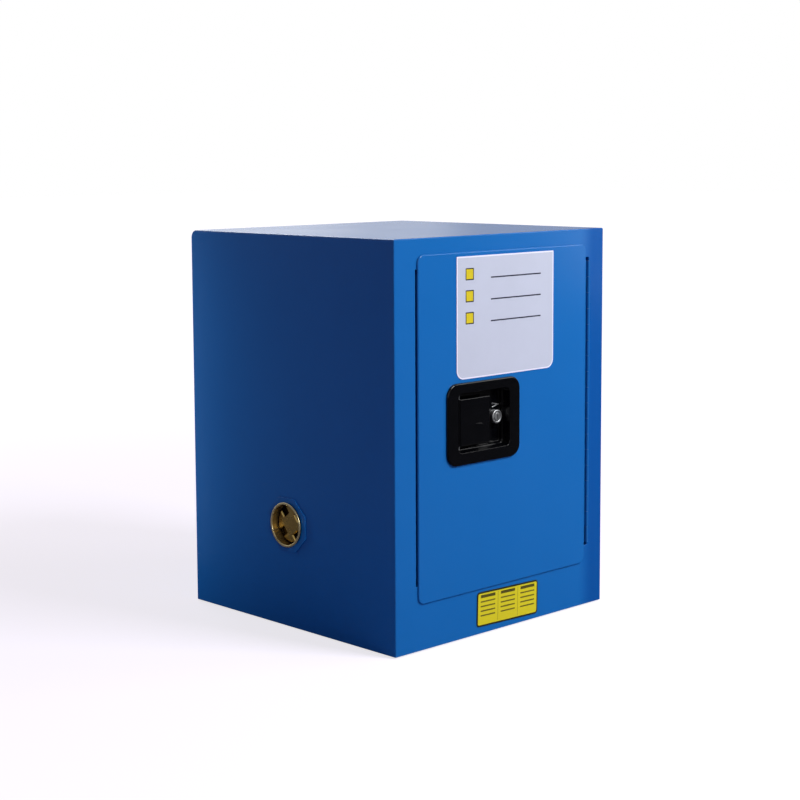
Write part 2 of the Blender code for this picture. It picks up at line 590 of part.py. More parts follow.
# Paddle: finger plate that swings on an upright pin and pulls the bolt by a tab
paddle_pivot = (PADDLE_AXIS_X, PADDLE_AXIS_Y, TAB_Z)
paddle_line = [
    (PADDLE_AXIS_X, PADDLE_LOW), (PADDLE_RIGHT, PADDLE_LOW),
    (PADDLE_RIGHT, PADDLE_HIGH - PADDLE_CUT_Z), (PADDLE_RIGHT - PADDLE_CUT_X, PADDLE_HIGH),
    (PADDLE_AXIS_X, PADDLE_HIGH),
]
paddle = body("paddle", *loft([on_y(paddle_line, PADDLE_FRONT), on_y(paddle_line, PADDLE_FRONT + PADDLE_THICK)]),
              pivot=paddle_pivot)
eye = (PADDLE_AXIS_X, PADDLE_AXIS_Y)
eye_ends = [(PADDLE_EYE_RADIUS, PADDLE_LOW), (PADDLE_EYE_RADIUS, PADDLE_HIGH)]
boolean(paddle, drum("eye", "z", eye, eye_ends), "UNION")
tab = block("tab", (PADDLE_AXIS_X - TAB_THICK / 2, PADDLE_AXIS_X + TAB_THICK / 2),
            (PADDLE_AXIS_Y, PADDLE_AXIS_Y + TAB_REACH), (TAB_Z - TAB_TALL / 2, TAB_Z + TAB_TALL / 2))
boolean(paddle, tab, "UNION")
bore_ends = [(PADDLE_BORE_RADIUS, PADDLE_LOW - GAP), (PADDLE_BORE_RADIUS, PADDLE_HIGH + GAP)]
boolean(paddle, drum("bore", "z", eye, bore_ends), "DIFFERENCE")
thumb_low, thumb_left = THUMB_Z - THUMB_TALL / 2, THUMB_X - THUMB_WIDE / 2
boolean(paddle, block("thumb", (thumb_left, thumb_left + THUMB_WIDE),
                      (PADDLE_FRONT - THUMB_DEEP, PADDLE_FRONT + THUMB_DEEP),
                      (thumb_low, thumb_low + THUMB_TALL)), "DIFFERENCE")
finish(paddle, "black coated zinc casting")
pin_depth = (PADDLE_AXIS_Y + PADDLE_PIN_RADIUS - BEZEL_FRONT) / (DISH_FLOOR_Y - BEZEL_FRONT)
pin_inset = DISH_DRAFT * pin_depth + GAP
pin_ends = [(PADDLE_PIN_RADIUS, DISH_LOW + pin_inset), (PADDLE_PIN_RADIUS, DISH_HIGH - pin_inset)]
paddle_pin = drum("paddle_pin", "z", eye, pin_ends, kind="zinc plated steel", pivot=door_pivot)

# Latch bolt: flat bar behind the dish, with a window for the paddle's tab
bolt_line = [
    (BOLT_TIP, BOLT_FRONT), (BOLT_END, BOLT_FRONT), (BOLT_END, BOLT_BACK), (BOLT_TIP + BOLT_NOSE, BOLT_BACK),
    (BOLT_TIP, BOLT_BACK - (BOLT_BACK - BOLT_FRONT) / 2),
]
latch_bolt = body("latch_bolt", *loft([on_z(bolt_line, bolt_low), on_z(bolt_line, bolt_high)]),
                  "zinc plated steel", (BOLT_TIP, BOLT_FRONT, TAB_Z))
boolean(latch_bolt, block("window", (WINDOW_LEFT, WINDOW_RIGHT), (BOLT_FRONT - SHEET, BOLT_BACK + SHEET),
                          (TAB_Z - WINDOW_TALL / 2, TAB_Z + WINDOW_TALL / 2)), "DIFFERENCE")

guide_hole = outline(BOLT_FRONT - BOLT_CLEAR, BOLT_BACK + BOLT_CLEAR,
                     bolt_low - BOLT_CLEAR, bolt_high + BOLT_CLEAR)
guide_edge = outline(skin_front + SHEET + GAP, BOLT_BACK + BOLT_CLEAR + GUIDE_WALL,
                     bolt_low - BOLT_CLEAR - GUIDE_WALL, bolt_high + BOLT_CLEAR + GUIDE_WALL)
bolt_guide = body("bolt_guide", *loft([
    on_x(guide_edge, GUIDE_LEFT), on_x(guide_hole, GUIDE_LEFT),
    on_x(guide_hole, GUIDE_RIGHT), on_x(guide_edge, GUIDE_RIGHT),
], ring=True), "black coated zinc casting", door_pivot)

# Key lock: barrel fixed in the dish, plug that turns in it, and a cam on the plug's tail
lock_centre = (LOCK_X, LOCK_Z)
lock_barrel = drum("lock_barrel", "y", lock_centre, [
    (LOCK_BORE_RADIUS, LOCK_FRONT), (LOCK_HEAD_RADIUS - LOCK_ROUND, LOCK_FRONT),
    (LOCK_HEAD_RADIUS - LOCK_ROUND / 3, LOCK_FRONT + LOCK_ROUND / 3),
    (LOCK_HEAD_RADIUS, LOCK_FRONT + LOCK_ROUND), (LOCK_HEAD_RADIUS, DISH_FLOOR_Y - GAP),
    (LOCK_BODY_RADIUS, DISH_FLOOR_Y - GAP), (LOCK_BODY_RADIUS, LOCK_BODY_BACK),
    (LOCK_BORE_RADIUS, LOCK_BODY_BACK),
], FOOT_SIDES, "chrome plated zinc", door_pivot, ring=True)
lock_pivot = (LOCK_X, LOCK_FRONT, LOCK_Z)
lock_plug = drum("lock_plug", "y", lock_centre, [
    (PLUG_RADIUS - PLUG_PROUD, LOCK_FRONT - PLUG_PROUD), (PLUG_RADIUS, LOCK_FRONT),
    (PLUG_RADIUS, LOCK_BODY_BACK), (TAIL_RADIUS, LOCK_BODY_BACK), (TAIL_RADIUS, TAIL_BACK),
], FOOT_SIDES, "chrome plated zinc", lock_pivot)
boolean(lock_plug, block("keyway", (LOCK_X - KEYWAY_WIDE / 2, LOCK_X + KEYWAY_WIDE / 2),
                         (LOCK_FRONT - 2 * PLUG_PROUD, LOCK_FRONT + KEYWAY_DEEP),
                         (LOCK_Z - KEYWAY_TALL / 2, LOCK_Z + KEYWAY_TALL / 2)), "DIFFERENCE")
half = FOOT_SIDES // 2
hub = circle(CAM_HUB_RADIUS, FOOT_SIDES, LOCK_X, LOCK_Z)[:half + 1]
tip = circle(CAM_TIP_RADIUS, FOOT_SIDES, LOCK_X, LOCK_Z - CAM_LENGTH, math.pi)[:half + 1]
cam_line = hub + tip
lock_cam = body("lock_cam", *loft([on_y(cam_line, CAM_FRONT), on_y(cam_line, CAM_BACK)]),
                "zinc plated steel", lock_pivot)
boolean(lock_cam, drum("bore", "y", lock_centre,
                       [(CAM_BORE_RADIUS, y) for y in (CAM_FRONT - SHEET, CAM_BACK + SHEET)]), "DIFFERENCE")

# Blank plates stuck on the door and on the frame
sign_line = outline(SIGN_LEFT, SIGN_RIGHT, SIGN_LOW, SIGN_HIGH, SIGN_TOP_CORNER, SIGN_LOW_CORNER)
sign_back = skin_front - GAP
sign_plate = body("sign_plate", *loft([on_y(sign_line, sign_back), on_y(sign_line, sign_back - PLATE_THICK)]),
                  "white coated film", door_pivot)
form_line = outline(-FORM_WIDE / 2, FORM_WIDE / 2, -FORM_TALL / 2, FORM_TALL / 2, FORM_CORNER)
tilt = Matrix.Rotation(-FORM_TILT, 2)
form_line = [(FORM_X + p.x, FORM_Z + p.y) for p in (tilt @ Vector(q) for q in form_line)]
form_back = FRONT - GAP
form_plate = body("form_plate", *loft([on_y(form_line, form_back), on_y(form_line, form_back - PLATE_THICK)]),
                  "yellow coated film")


# Vents: flange and tube in the wall, screen at the liner, seal and screw cap outside
def octagon(radius):
    """Octagon with level and upright flats, on as many points as the round loops."""
    flat = radius * math.cos(math.pi / FLANGE_SIDES)
    points = []
    for i in range(VENT_SIDES):
        angle = 2 * math.pi * i / VENT_SIDES
        off = (angle + math.pi / FLANGE_SIDES) % (2 * math.pi / FLANGE_SIDES) - math.pi / FLANGE_SIDES
        reach = flat / math.cos(off)
        points.append((VENT_Y + reach * math.cos(angle), reach * math.sin(angle)))
    return points


def raised(points, height):
    """Points moved up to the height of a vent."""
    return [(u, v + height) for u, v in points]


for word, side, height in (("left", -1, VENT_LEFT_Z), ("right", 1, VENT_RIGHT_Z)):
    centre = (VENT_Y, height)
    wall = side * WIDTH / 2

    def out(distance):
        """Place on X at a distance outside the wall."""
        return wall + side * distance

    flange_out = GAP + FLANGE_THICK
    body("vent_flange_" + word, *loft([
        on_x(raised(octagon(FLANGE_RADIUS - FLANGE_EDGE), height), out(flange_out)),
        on_x(raised(octagon(FLANGE_RADIUS), height), out(flange_out - FLANGE_EDGE)),
        on_x(raised(octagon(FLANGE_RADIUS), height), out(GAP)),
        on_x(circle(NECK_OUTER, VENT_SIDES, *centre), out(GAP)),
        on_x(circle(NECK_OUTER, VENT_SIDES, *centre), out(-NECK_LENGTH)),
        on_x(circle(NECK_INNER, VENT_SIDES, *centre), out(-NECK_LENGTH)),
        on_x(circle(NECK_INNER, VENT_SIDES, *centre), out(flange_out)),
    ], ring=True), "blue powder coat")

    tube_ends = (side * (WIDTH / 2 - SHEET - GAP), side * (liner_out + GAP))
    drum("vent_tube_" + word, "x", centre, [
        (TUBE_OUTER, tube_ends[0]), (TUBE_OUTER, tube_ends[1]),
        (TUBE_INNER, tube_ends[1]), (TUBE_INNER, tube_ends[0]),
    ], VENT_SIDES, "zinc plated steel", ring=True)
    screen_ends = (side * (liner_out + 2 * GAP), side * (liner_out + 2 * GAP + SCREEN_THICK))
    drum("vent_screen_" + word, "x", centre, [(SCREEN_RADIUS, x) for x in screen_ends],
         VENT_SIDES, "stainless wire cloth")

    seal_in = flange_out + GAP
    cap_in = seal_in + SEAL_THICK + GAP
    cap_out = cap_in + CAP_FLANGE
    cap_pivot = (out(seal_in), VENT_Y, height)
    drum("vent_seal_" + word, "x", centre, [
        (SEAL_OUTER, out(seal_in)), (SEAL_OUTER, out(seal_in + SEAL_THICK)),
        (SEAL_INNER, out(seal_in + SEAL_THICK)), (SEAL_INNER, out(seal_in)),
    ], VENT_SIDES, "black nitrile rubber", cap_pivot, ring=True)

    cap_end = cap_in - CAP_LENGTH
    cap_floor = cap_end + CAP_FLOOR
    disc = cap_floor + CAP_DISC_RISE
    edge = CAP_FLANGE / 3
    cap = drum("vent_cap_" + word, "x", centre, [
        (CAP_BODY, out(cap_end)), (CAP_BODY, out(cap_in)), (CAP_RADIUS, out(cap_in)),
        (CAP_RADIUS, out(cap_out - edge)), (CAP_RADIUS - edge, out(cap_out)),
        (CAP_BORE + edge, out(cap_out)), (CAP_BORE, out(cap_out - edge)),
        (CAP_BORE, out(cap_floor)), (CAP_DISC_RADIUS + edge, out(cap_floor)),
        (CAP_DISC_RADIUS, out(disc - edge)), (CAP_DISC_RADIUS - edge, out(disc)),
    ], VENT_SIDES, pivot=cap_pivot)
    for turn in range(CAP_NOTCHES):
        notch_x = sorted((out(cap_floor), out(disc + edge)))
        angle = CAP_NOTCH_TURN + turn * 2 * math.pi / CAP_NOTCHES
        across = Vector((-math.sin(angle), math.cos(angle))) * CAP_NOTCH_WIDE / 2
        near = Vector((math.cos(angle), math.sin(angle))) * CAP_NOTCH_REACH
        far = near.normalized() * (CAP_BORE - GAP)
        corners = [near - across, far - across, far + across, near + across]
        line = [(VENT_Y + c.x, height + c.y) for c in corners]
        boolean(cap, body("notch", *loft([on_x(line, x) for x in notch_x])), "DIFFERENCE")
    finish(cap, "yellow passivated zinc")

# Shelf standards: slotted strips on the liner, and the clips that carry the shelf
slot_lines = [STANDARD_LOW]
for i in range(STANDARD_SLOTS):
    slot_z = STANDARD_LOW + (i + 1) * SLOT_PITCH
    slot_lines += [slot_z - SLOT_TALL / 2, slot_z + SLOT_TALL / 2]
slot_lines.append(STANDARD_LOW + (STANDARD_SLOTS + 1) * SLOT_PITCH)
slots = [(1, 2 * i + 1) for i in range(STANDARD_SLOTS)]
clip_top = SHELF_LOW - GAP
number = 0
for side in (-1, 1):
    for y in STANDARD_YS:
        number += 1
        columns = [y - STANDARD_WIDE / 2, y - SLOT_WIDE / 2, y + SLOT_WIDE / 2, y + STANDARD_WIDE / 2]
        faces_x = sorted((side * sump_half, side * (sump_half - STANDARD_THICK)))
        lattice(f"shelf_standard_{number}", columns, slot_lines, slots, *faces_x, on_x, "galvanised steel")
        root = sump_half - STANDARD_THICK - GAP
        clip_line = [
            (side * root, clip_top), (side * (root - CLIP_REACH), clip_top),
            (side * (root - CLIP_REACH), clip_top - CLIP_THICK),
            (side * (root - CLIP_THICK), clip_top - CLIP_THICK),
            (side * (root - CLIP_THICK), clip_top - CLIP_DROP), (side * root, clip_top - CLIP_DROP),
        ]
        clip_ends = (y - CLIP_WIDE / 2, y + CLIP_WIDE / 2)
        body(f"shelf_clip_{number}", *loft([on_y(clip_line, end) for end in clip_ends]), "zinc plated steel")

# Shelf: sheet with its four edges folded down and in
shelf_edges = (-SHELF_HALF, SHELF_HALF, SHELF_FRONT, SHELF_BACK)
shelf_high = SHELF_LOW + SHELF_TALL


def shelf_loop(inset, z):
    """Outline of the shelf, moved inwards, at one height."""
    return on_z(inset_outline(shelf_edges, inset, FOLD_RADIUS), z)


shelf = body("shelf", *loft([
    shelf_loop(SHEET, shelf_high), shelf_loop(0, shelf_high - SHEET), shelf_loop(0, SHELF_LOW),
    shelf_loop(SHELF_LIP, SHELF_LOW), shelf_loop(SHELF_LIP, SHELF_LOW + SHEET),
    shelf_loop(SHEET, SHELF_LOW + SHEET), shelf_loop(SHEET, shelf_high - SHEET),
]), "galvanised steel", (0, 0, SHELF_LOW))

# Shelf tray: moulded tray that stands loose on the shelf
tray_edges = (-TRAY_HALF, TRAY_HALF, TRAY_FRONT, TRAY_BACK)
tray_low = shelf_high + GAP
tray_high = tray_low + TRAY_TALL


def tray_loop(inset, z):
    """Outline of the tray, moved inwards, at one height."""
    return on_z(inset_outline(tray_edges, inset, TRAY_CORNER), z)


shelf_tray = body("shelf_tray", *loft([
    tray_loop(TRAY_RIM + TRAY_WALL, tray_low), tray_loop(TRAY_RIM, tray_low + TRAY_WALL),
    tray_loop(TRAY_RIM, tray_high - TRAY_WALL), tray_loop(0, tray_high - TRAY_WALL),
    tray_loop(0, tray_high), tray_loop(TRAY_RIM + TRAY_WALL, tray_high),
    tray_loop(TRAY_RIM + TRAY_WALL, tray_low + 2 * TRAY_WALL),
    tray_loop(TRAY_RIM + 2 * TRAY_WALL, tray_low + TRAY_WALL),
]), "white polyethylene", (0, 0, tray_low))

# Levelling feet: pad, collar and stud in one, under a nut on the base panel
nut_low = BASE_LOW + SHEET + GAP
for number, place in enumerate(foot_places, start=1):
    foot = drum(f"levelling_foot_{number}", "z", place, [
        (PAD_RADIUS - PAD_EDGE, 0.0), (PAD_RADIUS, PAD_EDGE), (PAD_RADIUS, PAD_TALL - PAD_EDGE),
        (PAD_RADIUS - PAD_EDGE, PAD_TALL), (COLLAR_RADIUS, PAD_TALL), (COLLAR_RADIUS, BASE_LOW - GAP),
        (STUD_RADIUS, BASE_LOW - GAP), (STUD_RADIUS, STUD_TOP),
    ], FOOT_SIDES, "zinc plated steel", (*place, 0.0))
    nut_line = circle(NUT_RADIUS, NUT_SIDES, *place)
    nut = body(f"foot_nut_{number}", *loft([on_z(nut_line, z) for z in (nut_low, nut_low + NUT_TALL)]))
    boolean(nut, drum("bore", "z", place, [(NUT_BORE, nut_low - SHEET), (NUT_BORE, nut_low + NUT_TALL + SHEET)]),
            "DIFFERENCE")
    finish(nut, "zinc plated steel")
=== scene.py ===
import math

import bmesh
import bpy
from mathutils import Matrix, Vector


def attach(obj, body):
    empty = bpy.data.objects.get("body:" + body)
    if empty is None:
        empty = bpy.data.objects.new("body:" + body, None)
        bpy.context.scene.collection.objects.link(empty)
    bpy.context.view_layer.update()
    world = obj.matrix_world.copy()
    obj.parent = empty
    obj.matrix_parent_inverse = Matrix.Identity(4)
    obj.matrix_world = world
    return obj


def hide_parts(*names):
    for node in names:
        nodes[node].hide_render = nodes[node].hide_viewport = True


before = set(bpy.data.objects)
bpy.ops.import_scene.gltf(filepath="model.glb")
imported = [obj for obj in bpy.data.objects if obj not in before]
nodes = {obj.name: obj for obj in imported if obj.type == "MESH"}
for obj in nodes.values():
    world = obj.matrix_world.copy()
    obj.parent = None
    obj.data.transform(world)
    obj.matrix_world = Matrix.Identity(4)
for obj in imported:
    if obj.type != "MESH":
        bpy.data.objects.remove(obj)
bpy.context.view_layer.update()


# Outer shell: sides, top, back and door frame of 1.2 mm mild steel, the whole folded up,
# seam welded and ground flush before it is powder coated, so the paint runs round every
# corner. The frame's edges turn back round the door opening, and the foot turns inwards.
SHELL_LOW, SHELL_HIGH = Vector((-0.215, -0.215, 0.002)), Vector((0.215, 0.215, 0.560))
SHEET = 0.0012
OPENING_X, OPENING_Z = (-0.1755, 0.1821), (0.0915, 0.5185)
OPENING_RETURN, FOOT_FLANGE = 0.020, 0.012
FOLD_FRONT, FOLD_SIDE, FOLD_REAR, FOLD_OPENING = 0.0016, 0.0024, 0.0110, 0.0008
FOLD_STEPS = 5
BACK_MARGIN, BACK_STEP = 0.016, 0.0009
VENT_CENTRES = {"left": Vector((-0.215, 0.0023, 0.1494)), "right": Vector((0.215, 0.0023, 0.4400))}
SHELL_HOLE, HOLE_SIDES = 0.0323, 64
HOLE_DEEP, FOLD_FREE, WELD = 0.010, 0.010, 5e-6
ALONG, SQUARE = 0.9, 0.999  # least share of a direction that counts as along an axis, and as flat
MIX_A, MIX_B, MIX_OUT = 6, 7, 2  # the colour sockets of a Mix node
TINT, SMOOTH = {"data_type": "RGBA"}, {"interpolation_type": "SMOOTHSTEP"}


def linear(code):
    """Linear RGBA of a six-digit sRGB hex code."""
    parts = [int(code[i:i + 2], 16) / 255 for i in (0, 2, 4)]
    return [c / 12.92 if c <= 0.04045 else ((c + 0.055) / 1.055) ** 2.4 for c in parts] + [1.0]


def lay(tree, kind, settings=None, inputs=None):
    """A node with its settings, each input given a value or linked from another node's socket."""
    node = tree.nodes.new("ShaderNode" + kind)
    for name, value in (settings or {}).items():
        setattr(node, name, value)
    for name, value in (inputs or {}).items():
        if isinstance(value, bpy.types.NodeSocket):
            tree.links.new(value, node.inputs[name])
        else:
            node.inputs[name].default_value = value
    return node


def new_finish(name, **constants):
    """A finish with the shader's even values set, its tree, its shader and the object's coordinates."""
    finish = bpy.data.materials.new(name)
    finish.use_nodes = True
    tree = finish.node_tree
    shader = tree.nodes["Principled BSDF"]
    for socket, value in constants.items():
        shader.inputs[socket.replace("_", " ")].default_value = value
    return finish, tree, shader, lay(tree, "TexCoord").outputs["Object"]


def start(name, primitive, **how):
    """Add one primitive with nothing else selected, and put its place in its mesh."""
    bpy.ops.object.select_all(action="DESELECT")
    primitive(**how)
    piece = bpy.context.object
    piece.name = piece.data.name = name
    bpy.ops.object.transform_apply(location=True, rotation=True, scale=True)
    return piece


def start_box(name, low, high):
    """A cube stretched between two corners."""
    low, high = Vector(low), Vector(high)
    return start(name, bpy.ops.mesh.primitive_cube_add, size=1, location=(low + high) / 2, scale=high - low)


def shape(piece):
    """Open a piece in edit mode."""
    bpy.ops.object.select_all(action="DESELECT")
    bpy.context.view_layer.objects.active = piece
    piece.select_set(True)
    bpy.ops.object.mode_set(mode="EDIT")


def leave():
    """Close the piece that is open in edit mode."""
    bpy.ops.object.mode_set(mode="OBJECT")


def pick(kind, test):
    """Select only what passes the test of its middle and its normal, or an edge's direction."""
    mesh = bpy.context.edit_object.data
    bm = bmesh.from_edit_mesh(mesh)
    bpy.ops.mesh.select_mode(type=kind)
    for group in (bm.faces, bm.edges, bm.verts):
        for item in group:
            item.select = False
    chosen = []
    if kind == "FACE":
        chosen = [f for f in bm.faces if test(f.calc_center_median(), f.normal)]
    elif kind == "EDGE":
        chosen = [e for e in bm.edges
                  if test((e.verts[0].co + e.verts[1].co) / 2, (e.verts[1].co - e.verts[0].co).normalized())]
    else:
        chosen = [v for v in bm.verts if test(v.co, v.normal)]
    for item in chosen:
        item.select_set(True)
    bm.select_flush_mode()
    bmesh.update_edit_mesh(mesh)
    return len(chosen)


def near(a, b, slack=1e-5):
    """Whether two lengths are the same."""
    return abs(a - b) < slack


def work(piece, kind, **settings):
    """Add a modifier to a piece and apply it."""
    bpy.ops.object.select_all(action="DESELECT")
    bpy.context.view_layer.objects.active = piece
    piece.select_set(True)
    modifier = piece.modifiers.new(kind.title(), kind)
    for name, value in settings.items():
        setattr(modifier, name, value)
    bpy.ops.object.modifier_apply(modifier=modifier.name)


def cut(piece, tool, operation="DIFFERENCE"):
    """Cut a tool out of a piece, or weld it on, and put the tool away."""
    work(piece, "BOOLEAN", operation=operation, solver="EXACT", object=tool)
    bpy.data.objects.remove(tool, do_unlink=True)


def mend(piece):
    """Weld points that cuts left double, and close a hole that they left."""
    shape(piece)
    bpy.ops.mesh.select_all(action="SELECT")
    bpy.ops.mesh.remove_doubles(threshold=WELD)
    bpy.ops.mesh.select_mode(type="EDGE")
    bpy.ops.mesh.select_all(action="DESELECT")
    bpy.ops.mesh.select_non_manifold()
    bpy.ops.mesh.fill_holes(sides=4)
    leave()


def dress(piece, finish, body, crease=35):
    """Finish a piece, smooth its bends, keep its flats flat, and let it ride on its body."""
    piece.data.materials.clear()
    piece.data.materials.append(finish)
    bpy.ops.object.select_all(action="DESELECT")
    bpy.context.view_layer.objects.active = piece
    piece.select_set(True)
    bpy.ops.object.shade_smooth_by_angle(angle=math.radians(crease))
    work(piece, "WEIGHTED_NORMAL", keep_sharp=True)
    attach(piece, body)


def paint_node(name, finish):
    """Give a node of the frame a better finish on its own slots."""
    for slot in nodes[name].material_slots:
        slot.material = finish


# Epoxy-polyester powder coat, sprayed dry and baked: an even satin blue whose orange peel, in
# waves of 3 mm, breaks the edges of reflections. The sheet under it waves a little too. On the
# stile beside the hinge a deeper blue is painted in as shade, and its sheen is lower high up.
DRIFT_LONG, PEEL_LONG, SHEET_LONG = 0.143, 0.00303, 0.200  # from wave to wave
PEEL_DEEP, SHEET_DEEP, COAT_SPREAD = 0.000012, 0.0006, 0.03
SHADE_X, SHADE_Y, DULL_Z, SHEEN = (0.160, 0.195), (-0.185, -0.205), (0.430, 0.530), (0.30, 0.09)


def powder_coat(name, deep, light, roughness, shade_colour=None):
    """A powder coat from its two nearly equal colours, its roughness and, where given, a deeper
    colour painted in as shade toward the hinge side."""
    finish, tree, shader, place = new_finish(name, IOR=1.5, Specular_IOR_Level=SHEEN[0])
    drift, peel, waves = (
        lay(tree, "TexNoise", None, {"Vector": place, "Scale": 1 / size, "Detail": detail}).outputs["Fac"]
        for size, detail in ((DRIFT_LONG, 2.0), (PEEL_LONG, 1.0), (SHEET_LONG, 0.0)))
    colour = lay(tree, "Mix", TINT, {"Factor": drift, MIX_A: linear(deep), MIX_B: linear(light)})
    # Toward the hinge side the blue is deepened as painted shade, and high up its sheen is lowered.
    if shade_colour:
        axes = lay(tree, "SeparateXYZ", None, {"Vector": place}).outputs
        across, ahead, above = (
            lay(tree, "MapRange", SMOOTH,
                {"Value": axes[axis], "From Min": first, "From Max": last}).outputs["Result"]
            for axis, (first, last) in (("X", SHADE_X), ("Y", SHADE_Y), ("Z", DULL_Z)))
        painted_shade_mask = lay(tree, "Math", {"operation": "MULTIPLY"}, {0: across, 1: ahead}).outputs[0]
        dulled = lay(tree, "Math", {"operation": "MULTIPLY"}, {0: painted_shade_mask, 1: above}).outputs[0]
        sheen = lay(tree, "MapRange", None, {"Value": dulled, "To Min": SHEEN[0], "To Max": SHEEN[1]})
        tree.links.new(sheen.outputs["Result"], shader.inputs["Specular IOR Level"])
        colour = lay(tree, "Mix", TINT,
                     {"Factor": painted_shade_mask, MIX_A: colour.outputs[MIX_OUT], MIX_B: linear(shade_colour)})
    gloss = lay(tree, "MapRange", None,
                {"Value": drift, "To Min": roughness - COAT_SPREAD, "To Max": roughness + COAT_SPREAD})
    sheet = lay(tree, "Bump", None, {"Height": waves, "Strength": 1.0, "Distance": SHEET_DEEP})
    bump = lay(tree, "Bump", None, {"Height": peel, "Strength": 1.0, "Distance": PEEL_DEEP,
                                    "Normal": sheet.outputs["Normal"]})
    tree.links.new(colour.outputs[MIX_OUT], shader.inputs["Base Color"])
    tree.links.new(gloss.outputs["Result"], shader.inputs["Roughness"])
    tree.links.new(bump.outputs["Normal"], shader.inputs["Normal"])
    return finish


blue_coat = powder_coat("powder coat, satin blue", "146CB6", "1870BB", 0.22)
# The shell's coat, darkened as painted shade on the stile beside the hinge.
frame_coat = powder_coat("powder coat, satin blue, painted shade at hinge side", "146CB6", "1870BB", 0.22, "0857A4")

shell = start_box("cabinet_shell", SHELL_LOW, SHELL_HIGH)
shape(shell)
pick("FACE", lambda c, n: n.z < -ALONG)
bpy.ops.mesh.inset(thickness=FOOT_FLANGE)
bpy.ops.mesh.delete(type="FACE")
for x in OPENING_X:
    pick("FACE", lambda c, n: n.y < -ALONG)
    bpy.ops.mesh.bisect(plane_co=(x, 0, 0), plane_no=(1, 0, 0))
for z in OPENING_Z:
    pick("FACE", lambda c, n: n.y < -ALONG)
    bpy.ops.mesh.bisect(plane_co=(0, 0, z), plane_no=(0, 0, 1))


def in_opening(c, slack=1e-5):
    """Whether a place is within the door opening, seen from the front."""
    across = OPENING_X[0] - slack < c.x < OPENING_X[1] + slack
    return across and OPENING_Z[0] - slack < c.z < OPENING_Z[1] + slack


pick("FACE", lambda c, n: n.y < -ALONG and in_opening(c))
bpy.ops.mesh.extrude_region_move(TRANSFORM_OT_translate={"value": (0, OPENING_RETURN, 0)})
bpy.ops.mesh.delete(type="FACE")
pick("EDGE", lambda c, d: near(c.y, SHELL_HIGH.y) and near(c.z, SHELL_HIGH.z))
bpy.ops.mesh.bevel(offset=FOLD_REAR, segments=6, affect="EDGES")
pick("FACE", lambda c, n: n.y > SQUARE)
bpy.ops.mesh.inset(thickness=BACK_MARGIN)
bpy.ops.mesh.inset(thickness=BACK_STEP, depth=-BACK_STEP)


def on_rim(c):
    """Whether a place is on one of the shell's sides or its top."""
    return near(abs(c.x), SHELL_HIGH.x) or near(c.z, SHELL_HIGH.z)


for radius, test in (
    (FOLD_SIDE, lambda c, d: near(abs(c.x), SHELL_HIGH.x) and min((c - SHELL_LOW).yz) > FOLD_FREE),
    (FOLD_FRONT, lambda c, d: near(c.y, SHELL_LOW.y) and on_rim(c)),
    (FOLD_OPENING, lambda c, d: near(c.y, SHELL_LOW.y) and in_opening(c)),
):
    pick("EDGE", test)
    bpy.ops.transform.edge_bevelweight(value=radius / FOLD_SIDE)
leave()
work(shell, "BEVEL", width=FOLD_SIDE, segments=FOLD_STEPS, limit_method="WEIGHT", miter_outer="MITER_ARC")
work(shell, "SOLIDIFY", thickness=SHEET, offset=-1, use_even_offset=True)
for centre in VENT_CENTRES.values():
    cut(shell, start("hole", bpy.ops.mesh.primitive_cylinder_add, vertices=HOLE_SIDES, radius=SHELL_HOLE,
                     depth=HOLE_DEEP, location=centre, rotation=(0, math.radians(90), 0)))
mend(shell)
dress(shell, frame_coat, "cabinet")
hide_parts("outer_wrap", "front_frame", "back_panel")
paint_node("base_panel", blue_coat)


# Inner box: one sheet folded into sides, back and top, 29 mm inside the shell, so that the
# air between them insulates. Painted with the shell, and spot welded to the frame's return.
LINER_LOW, LINER_HIGH = (-0.1855, -0.2135, 0.034), (0.1855, 0.1855, 0.5312)
LINER_FOLD, LINER_HOLE = 0.003, 0.0295

liner = start_box("liner_box", LINER_LOW, LINER_HIGH)
shape(liner)
pick("FACE", lambda c, n: n.z < -ALONG or n.y < -ALONG)
bpy.ops.mesh.delete(type="FACE")
pick("EDGE", lambda c, d: near(abs(c.x), LINER_HIGH[0]) + near(c.y, LINER_HIGH[1])
     + near(c.z, LINER_HIGH[2]) == 2)
bpy.ops.mesh.bevel(offset=LINER_FOLD, segments=4, affect="EDGES")
leave()
work(liner, "SOLIDIFY", thickness=SHEET, offset=-1, use_even_offset=True)
for side, centre in VENT_CENTRES.items():
    middle = (math.copysign(LINER_HIGH[0], centre.x), centre.y, centre.z)
    cut(liner, start("hole", bpy.ops.mesh.primitive_cylinder_add, vertices=HOLE_SIDES, radius=LINER_HOLE,
                     depth=HOLE_DEEP, location=middle, rotation=(0, math.radians(90), 0)))
dress(liner, blue_coat, "cabinet")
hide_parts("liner_wrap", "liner_top")


# Sump: a welded pan of the same sheet that lies loose in the bottom and holds a spill. Its
# corners are rounded and its rim is hemmed back on itself, so no raw edge meets the hand.
SUMP_LOW, SUMP_HIGH = (-0.184, -0.1947, 0.040), (0.184, 0.184, 0.088)
SUMP_CORNER, SUMP_FOLD, SUMP_HEM = 0.006, 0.002, 0.008


def hem_rim(low, high, outwards, upwards):
    """Turn the open rim of a pan outwards or inwards by one amount, then up or down by another."""
    pick("EDGE", lambda c, d: near(c.z, high[2]))
    bpy.ops.mesh.extrude_edges_move()
    middle = [(a + b) / 2 for a, b in zip(low, high)]
    grow = [(b - a + 2 * outwards) / (b - a) for a, b in zip(low[:2], high[:2])]
    bpy.ops.transform.resize(value=(*grow, 1), center_override=middle)
    bpy.ops.mesh.extrude_edges_move(TRANSFORM_OT_translate={"value": (0, 0, upwards)})


